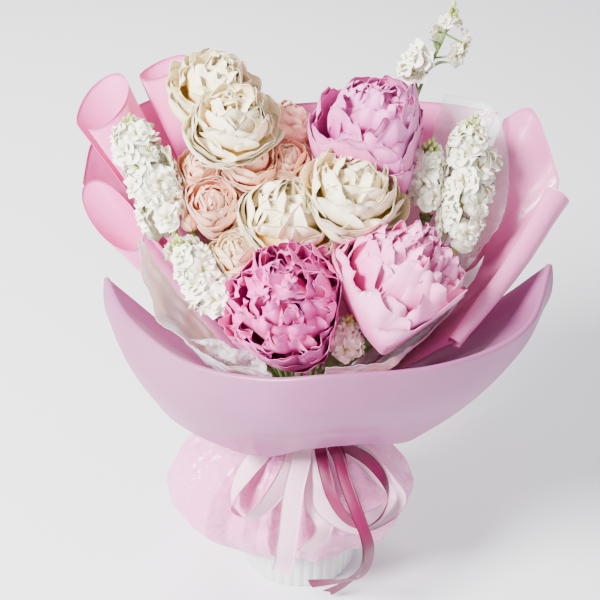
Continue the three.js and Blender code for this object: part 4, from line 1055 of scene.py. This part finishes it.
def roll_net(name, rows=90, columns=110):
    """An ellipse that opens from a flat one at the tie to a circle, along a straight axis, cut on a slant."""
    heading, mouth, radius, seam, cut, slant = ROLLS[name]
    t, s = rising(rows)[:, None, None], np.linspace(0, 1, columns)[None, :, None]
    k = np.maximum(t, 0)
    low = on_ring(28.5, heading, GATHER_HIGH)
    axis = vec(*mouth) - low
    radial = on_ring(1, heading, 0)
    out = unit(radial - axis * (radial @ axis) / (axis @ axis))
    side = np.cross(unit(axis), out)
    turn = np.radians(seam + 335 * s + 12.5)
    open_up = smooth(k / 0.25) * k
    spiral = 1 + 0.1 * s
    deep, wide = (mix(size, radius, open_up) * spiral for size in (1.75, 4.5))
    length = 1 - slant / np.linalg.norm(axis) * np.cos(turn - math.radians(cut)) * k
    wave = 1 + 0.02 * np.sin(3 * turn) * k
    net = low + axis * k * length + out * deep * wave * np.cos(turn) + side * wide * wave * np.sin(turn)
    net = in_tie(net, t[..., 0] + 0 * s[..., 0])
    return crumpled(net, 0.5, 55, heading, smooth(1.6 * k)[..., 0] + 0 * s[..., 0])


for name in ROLLS:
    show_sheet(name, roll_net(name), 0.5, FILM, "wrap_film_pink")

# %% [markdown]
# The front sheet rises from the tie to a rim and folds over it, to hang outside as a collar.

# %% The front sheet
RIM = [(-196, -2, 342), (-170, -48, 325), (-111, -108, 316), (-40, -146, 325), (23, -158, 338), (110, -142, 338),
       (176, -108, 340), (214, -72, 352), (233, -20, 379)]
HEM = [(-166, -22, 264), (-142, -48, 222), (-100, -74, 206), (-43, -90, 195), (10, -94, 207), (62, -90, 213),
       (110, -78, 212), (166, -64, 264), (207, -44, 314)]
BELLY, FOLD = 12, 3


def front_net(columns=150):
    """Rows up from the tie, over the rim in a half circle and down the collar, which has one slanted dent."""
    s = np.linspace(0, 1, columns)
    rim, hem_line = along(RIM, s), along(HEM, s)
    out = outward(rim)
    rows = []
    for k in np.linspace(1, 0, 4):
        neck = at_tie("wrap_front", s)
        neck[:, 2] = mix(GATHER_HIGH, GATHER_LOW, k)
        rows.append(neck)
    for k in np.linspace(0, 1, 30)[1:]:
        fold = 1.2 * np.sin(2 * np.pi * 11 * s)[:, None] * math.sin(math.pi * k**0.6)
        rows.append(mix(at_tie("wrap_front", s), rim - out * FOLD, k)
                    + out * (0.6 * BELLY * math.sin(math.pi * k) + fold))
    for turn in np.linspace(0, np.pi, 9)[1:-1]:
        rows.append(rim - out * FOLD * math.cos(turn) + vec(0, 0, FOLD * math.sin(turn)))
    for k in np.linspace(0, 1, 60):
        dent = 2.6 * np.exp(-np.abs(k - 0.6 - 0.55 * (s - 0.4)) / 0.035) * smooth((s - 0.36) / 0.08) * smooth(
            (0.66 - s) / 0.14)
        rows.append(mix(rim + out * FOLD, hem_line, k) + out * (BELLY * math.sin(math.pi * k) - dent[:, None]))
    net = np.array(rows)
    grow = np.concatenate([np.zeros(4), np.linspace(0, 0.5, 29), np.full(7, 0.3), np.linspace(0.4, 1, 60)])
    return crumpled(net, 0.9, 75, 3, grow[:, None] + 0 * s)


show_sheet("wrap_front", front_net(), 0.5, COLLAR, "wrap_mauve_pink")

# %% [markdown]
# ## The skirt round the vase
#
# The film is gathered at the tie, puffs out and turns in underneath, to the vase. Its profile is given in
# rings: height, then the reach to the front, right, back and left. Pleats are triangular waves round it,
# because film creases sharply where cloth would roll. The deepest are cut inwards only, off the ribbons.

# %% Skirt
SKIRT = np.array([
    [201, 33.7, 33.7, 33.7, 33.7], [184, 33.8, 33.8, 33.8, 33.8], [168, 58, 66, 62, 72], [142, 82, 98, 88, 118],
    [108, 93, 115, 100, 139], [82, 93, 116, 98, 140], [56, 80, 94, 82, 106], [49, 63.4, 63.4, 63.4, 63.4]], float)
# how deep the broad folds are at each ring
PLEAT = np.array([0, 0, 2.5, 4, 3.5, 3, 3, 0], float)
# creases that run down the film: where round it, how far they slant, where they start and end, and how deep
RAYS = [(8 + 22.5 * i + 9 * math.sin(5 * i), 26 * math.sin(3 * i + 1), 0.14 + 0.04 * (i % 3), 0.6 + 0.13 * (i % 4),
         (2.6, -2.2, 1.8)[i % 3]) for i in range(16)]


def skirt_net(rows=110, columns=420):
    """Four reaches blended round each ring, plus waves, pleats, tucks and creases on the radius."""
    k = np.linspace(0, 1, rows)
    rings = along(SKIRT, k)
    broad = along(PLEAT[:, None], k)
    degrees = np.arange(columns) * 360 / columns
    around = (degrees + 90) % 360
    quarter = (around // 90).astype(int)
    share = (1 - np.cos(np.radians(2 * (around % 90)))) / 2
    radius = mix(rings[:, 1 + quarter], rings[:, 1 + (quarter + 1) % 4], share)
    turn = np.radians(degrees)
    wave = broad * np.cos(10 * turn + 0.5 * np.sin(3 * turn))
    lay = k[:, None]
    # a triangular wave from -1 to 1, for deep pleats half way down, fine ones nearer the tie and a tucked hem
    fold = lambda angle: 2 / np.pi * np.arcsin(np.sin(angle))
    neat = 3.4 * np.exp(-(((lay - 0.52) / 0.24) ** 2)) * (fold(17 * turn + 2 * np.sin(3 * turn) + 1.5 * lay) - 1)
    fine = 1.6 * np.exp(-(((lay - 0.36) / 0.16) ** 2)) * fold(41 * turn + 3 * np.sin(4 * turn))
    tuck = 2.4 * np.exp(-(((lay - 0.82) / 0.1) ** 2)) * fold(19 * turn + 3 * np.sin(4 * turn) + 8 * lay)
    rays = 0
    for at_turn, slant, start, end, deep in RAYS:
        near = np.abs(np.angle(np.exp(1j * (turn - np.radians(at_turn + slant * (lay - 0.3))))))
        held = smooth((lay - start) / 0.1) * smooth((end - lay) / 0.25)
        rays = rays + 1.6 * deep * held * (np.exp(-near / 0.04) - 0.5 * np.exp(-near / 0.14))
    net = on_ring(radius + wave + neat + fine + tuck + rays, degrees, rings[:, :1])
    grow = smooth((lay - 0.2) / 0.15) * smooth((0.98 - lay) / 0.1)
    heave = 1.2 * np.abs(ripples(net, 44, 8)) + 0.7 * np.abs(ripples(net, 20, 9)) - 1.0
    return net + normals(net, True) * (1.6 * heave * grow)[..., None]


show_sheet("skirt", skirt_net(), 0.5, SKIRT_FILM, "wrap_film_pink", ring=True)

# %% [markdown]
# ## Ribbons
#
# Satin ribbon keeps its width and bends only one way. Each strand follows its own route from the knot as a
# flat band that faces out, and `lean` turns it edge-on, in degrees. The tails end in a notch.

# %% Ribbon routes
STRANDS = {
    "pale_curl": (20, [0, 0, 0, 0, 10, 20, 20],
                  [(19, -45.8, 190), (17, -56, 177), (14, -76, 157), (14, -90, 137), (24, -97, 120), (20, -103, 104),
                   (5, -103, 86)]),
    "pale_loop_left": (20, [0, 0, 10, 25, 45, 60, 50, 25, 0, 0],
                       [(-2, -49.4, 190), (-6, -62, 177), (-18, -80, 158), (-36, -97, 139), (-54, -104, 129),
                        (-68, -96, 134), (-66, -84, 147), (-53, -66, 164), (-40, -54, 175), (-20, -46.4, 190)]),
    "pale_loop_right": (20, [0, 0, 0, 15, 35, 50, 55, 60, 50, 30, 10, 0],
                        [(14, -52.6, 190), (19, -66, 177), (21, -85, 160), (22, -97, 144), (38, -101, 130),
                         (55, -100, 121), (74, -90, 120), (93, -76, 124), (97, -66, 133), (84, -60, 149),
                         (64, -52, 168), (37, -47, 191)]),
    "pale_tail": (20, [0, 0, 0, 0, 0, 0, 0, -10],
                  [(2, -56, 190), (-1, -74, 179), (-7, -94, 160), (-10, -106, 136), (-12, -110, 112),
                   (-14, -109, 92), (-15, -103, 72), (-19, -96, 50)]),
    "dark_loop": (12, [0, 0, 10, 30, 45, 50, 45, 30, 15, 0, 0],
                  [(26, -52.4, 190), (50, -56, 181), (70, -60, 169), (84, -70, 154), (88, -82, 140), (80, -96, 127),
                   (63, -106, 122), (46, -108, 134), (32, -98, 152), (24, -82, 170), (18, -60, 186)]),
    "dark_tail": (12, [0, 0, 0, 0, 10, 20, 20, 10, 0],
                  [(30, -58, 191), (37, -66, 184), (43, -84, 168), (55, -106, 146), (66, -116, 117), (68, -104, 82),
                   (63, -92, 53), (46, -84, 26), (30, -77, 8)]),
    "dark_curl": (12, [0, 0, 0, 0, 10, 20, 25, 20, 10, 0],
                  [(30, -62, 191), (37, -73, 183), (44, -92, 168), (56, -114, 146), (68, -124, 117), (70, -112, 82),
                   (64, -104, 56), (48, -97, 44), (30, -88, 33), (12, -82, 25)]),
}
# a strand faces away from an upright line this far behind the vase's middle
FACING = 80
print("ribbons, in millimetres wide:", {name: width for name, (width, _, _) in STRANDS.items()})

# %% [markdown]
# A band needs two directions at each point of its route: along it, and across it. The way across is square
# to the route and to the way out from the vase.

# %% Strands
def strand_net(name, rows=140, columns=9):
    """A route widened to both sides and slightly cupped; a tail's end is cut back in its middle."""
    width, lean, route = STRANDS[name]
    k = np.linspace(0, 1, rows)
    middle = along(route, k)
    heading = unit(along(route, np.minimum(k + 0.01, 1)) - along(route, np.maximum(k - 0.01, 0)))
    out = outward(middle - vec(0, FACING, 0))
    across = unit(np.cross(heading, out))
    facing = np.cross(across, heading)
    turn = np.radians(along(np.array(lean, float)[:, None], k))
    way = across * np.cos(turn) + facing * np.sin(turn)
    u = np.linspace(1, -1, columns)[None, :, None]
    net = middle[:, None] + 0.5 * width * u * way[:, None]
    cup = np.cross(heading, way)[:, None] * (u**2 - 0.4) * 0.5
    if name.endswith("tail"):
        cut = 0.45 * width * (1 - np.abs(u)) * smooth((k - 0.9) / 0.1)[:, None, None]
        net = net - heading[:, None] * cut
    return net + cup


for name in STRANDS:
    dark = name.startswith("dark")
    show_sheet(name, strand_net(name), 0.4, ROSE_SATIN if dark else SATIN,
               "ribbon_dark_satin" if dark else "ribbon_pale_satin")

# %% [markdown]
# The tie is a band round the gathered sheets, with a knot in front. A real knot is ribbon wound over
# itself. Little of it shows under the collar, so a creased ball stands for it.

# %% Tie and knot
def make_tie():
    """The band round the neck, and a creased ball for the knot, over the strands' ends."""
    degrees = np.arange(180) * 2.0
    k = np.linspace(0, 1, 16)[:, None]
    pleats = 0.22 * np.sin(3 * np.pi * 2 * k + 0.6 * np.sin(np.radians(3 * degrees)))
    pile = Pile()
    pile.shell(on_ring(35.3 + pleats, degrees, mix(186, 205, k)), 0.5, ring=True)
    tilt = np.linspace(np.pi, 0, 28)[:, None]
    turn = np.radians(np.arange(72) * 5.0)[None]
    crease = 1 + 0.05 * np.sin(9 * tilt + 1.5 * np.sin(turn)) * np.sin(tilt)
    knot = np.stack(np.broadcast_arrays(27 * np.sin(tilt) * np.cos(turn) * crease,
                                        17 * np.sin(tilt) * np.sin(turn) * crease, 10 * np.cos(tilt)), -1)
    knot = knot + vec(12, -48, 193)
    reach = np.linalg.norm(knot[..., :2], axis=-1, keepdims=True)
    knot[..., :2] *= np.maximum(reach, 34.9) / reach
    pile.closed(knot)
    show("ribbon_tie_knot", pile, SATIN, "ribbon_pale_satin", "ribbon_tie")


make_tie()

# %% [markdown]
# ## Vase and water
#
# The vase is glass, fluted outside and plain inside, with a rounded foot, and could be pressed in a mould. A
# spun profile would be round, so each ring of the profile says how much of the flutes it takes. The glass is
# only partly clear, as flutes hide what is behind them.

# %% Vase
HEIGHT, FOOT_RADIUS, RIM_RADIUS, WALL, FLOOR, FLUTES, GROOVE = 150, 60, 64, 3.5, 8, 36, 1.2


def vase_net(columns=36 * 10):
    """Rings of radius and height, each less the flute's depth times the ring's share of it."""
    degrees = np.arange(columns) * 360 / columns
    flute = 1 - np.abs(np.cos(np.radians(degrees) * FLUTES / 2))
    radius_at = lambda z: mix(FOOT_RADIUS, RIM_RADIUS, z / HEIGHT)
    outside = [(0.01, 0.0, 0), (40, 0.0, 0), (FOOT_RADIUS - 3, 0.0, 0.5)]
    for turn in np.linspace(0.25, 1, 4) * math.pi / 2:
        outside.append((FOOT_RADIUS - 3 + 3 * math.sin(turn), 3 - 3 * math.cos(turn), 1))
    outside += [(radius_at(z), z, 1) for z in np.linspace(8, HEIGHT - 3, 40)]
    outside += [(RIM_RADIUS - 0.3, HEIGHT - 0.8, 0.6), (RIM_RADIUS - 1.2, HEIGHT, 0.2)]
    inside = [(RIM_RADIUS - WALL + 1, HEIGHT, 0), (RIM_RADIUS - WALL, HEIGHT - 1, 0)]
    inside += [(radius_at(z) - WALL, z, 0) for z in np.linspace(HEIGHT - 6, FLOOR + 4, 20)]
    low = radius_at(FLOOR) - WALL
    inside += [(low - 1.5, FLOOR + 1, 0), (low - 4, FLOOR, 0), (0.01, FLOOR, 0)]
    return np.array([on_ring(radius - GROOVE * flute * share, degrees, z) for radius, z, share in outside + inside])


glass = Paint("fluted_glass", Transmission_Weight=0.3, IOR=1.45, Coat_Weight=0.3, Coat_Roughness=0.05)
frost = glass.noise(30.0, detail=3)
glass.colour(glass.blend(frost, srgb(240, 243, 245), srgb(254, 254, 255)))
glass.rough(frost * 0.12 + 0.06)
glass.bump(frost, 0.0001)
vase = Pile()
vase.closed(vase_net())
show("vase_glass", vase, glass.material, "vase_glass", "vase")

# %% [markdown]
# The water keeps its solid, with its hole for each stem, and only gets a surface. It is clear and bends
# light as water does.

# %% Water
clear = Paint("clear_water", Transmission_Weight=1.0, IOR=1.33)
swirl = clear.noise(12.0, detail=2)
clear.colour(clear.blend(swirl, srgb(232, 240, 238), srgb(250, 252, 252)))
clear.rough(swirl * 0.04 + 0.01)
clear.bump(swirl, 0.0002)
for material_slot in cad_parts["water"].material_slots:
    material_slot.material = clear.material

# %% [markdown]
# ## Floor, light and camera
#
# A pale floor, one large soft lamp from the front left, a weak fill and one from behind.

# %% Floor and lamps
floor_mesh = bpy.data.meshes.new("floor")
floor_mesh.from_pydata([(-6, -6, 0), (6, -6, 0), (6, 6, 0), (-6, 6, 0)], [], [(0, 1, 2, 3)])
floor = bpy.data.objects.new("floor", floor_mesh)
bpy.context.collection.objects.link(floor)
ground = Paint("floor_paint", Roughness=0.6)
ground.colour(ground.blend(ground.noise(0.6), srgb(232, 232, 236), srgb(240, 240, 243)))
floor_mesh.materials.append(ground.material)


def add_light(name, place, target, size, power):
    """A round lamp that faces its target."""
    lamp = bpy.data.lights.new(name, "AREA")
    lamp.shape, lamp.size, lamp.energy = "DISK", size, power
    piece = bpy.data.objects.new(name, lamp)
    bpy.context.collection.objects.link(piece)
    piece.location = place
    piece.rotation_euler = (Vector(target) - Vector(place)).to_track_quat("-Z", "Y").to_euler()


add_light("key", (-1.7, -1.3, 1.9), (0, 0, 0.35), 1.0, 330)
add_light("fill", (1.6, -1.2, 1.1), (0, 0, 0.3), 1.6, 6)
add_light("back", (-0.6, 1.7, 1.6), (0, 0, 0.4), 1.4, 55)
world = bpy.data.worlds.new("studio")
world.use_nodes = True
world.node_tree.nodes["Background"].inputs["Color"].default_value = (0.86, 0.88, 0.93, 1)
world.node_tree.nodes["Background"].inputs["Strength"].default_value = 0.8
bpy.context.scene.world = world

# %% [markdown]
# The camera stands 1.27 m in front and 1.09 m up. It looks 31 degrees down and is rolled by about one, to
# fit the photograph.

# %% Camera
PITCH, ROLL = math.radians(31.16), math.radians(1.35)
camera = bpy.data.objects.new("camera", bpy.data.cameras.new("camera"))
bpy.context.collection.objects.link(camera)
camera.data.sensor_width = 36
camera.data.lens = 90
ahead = Vector((0, math.cos(PITCH), -math.sin(PITCH)))
up_level, right_level = Vector((0, math.sin(PITCH), math.cos(PITCH))), Vector((1, 0, 0))
right_way = math.cos(ROLL) * right_level + math.sin(ROLL) * up_level
up_way = -math.sin(ROLL) * right_level + math.cos(ROLL) * up_level
camera.matrix_world = Matrix.Translation((-0.0055, -1.2735, 1.0927)) @ Matrix(
    (right_way, up_way, -ahead)).transposed().to_4x4()
bpy.context.scene.camera = camera
print("the camera is at", [round(v, 3) for v in camera.matrix_world.translation])
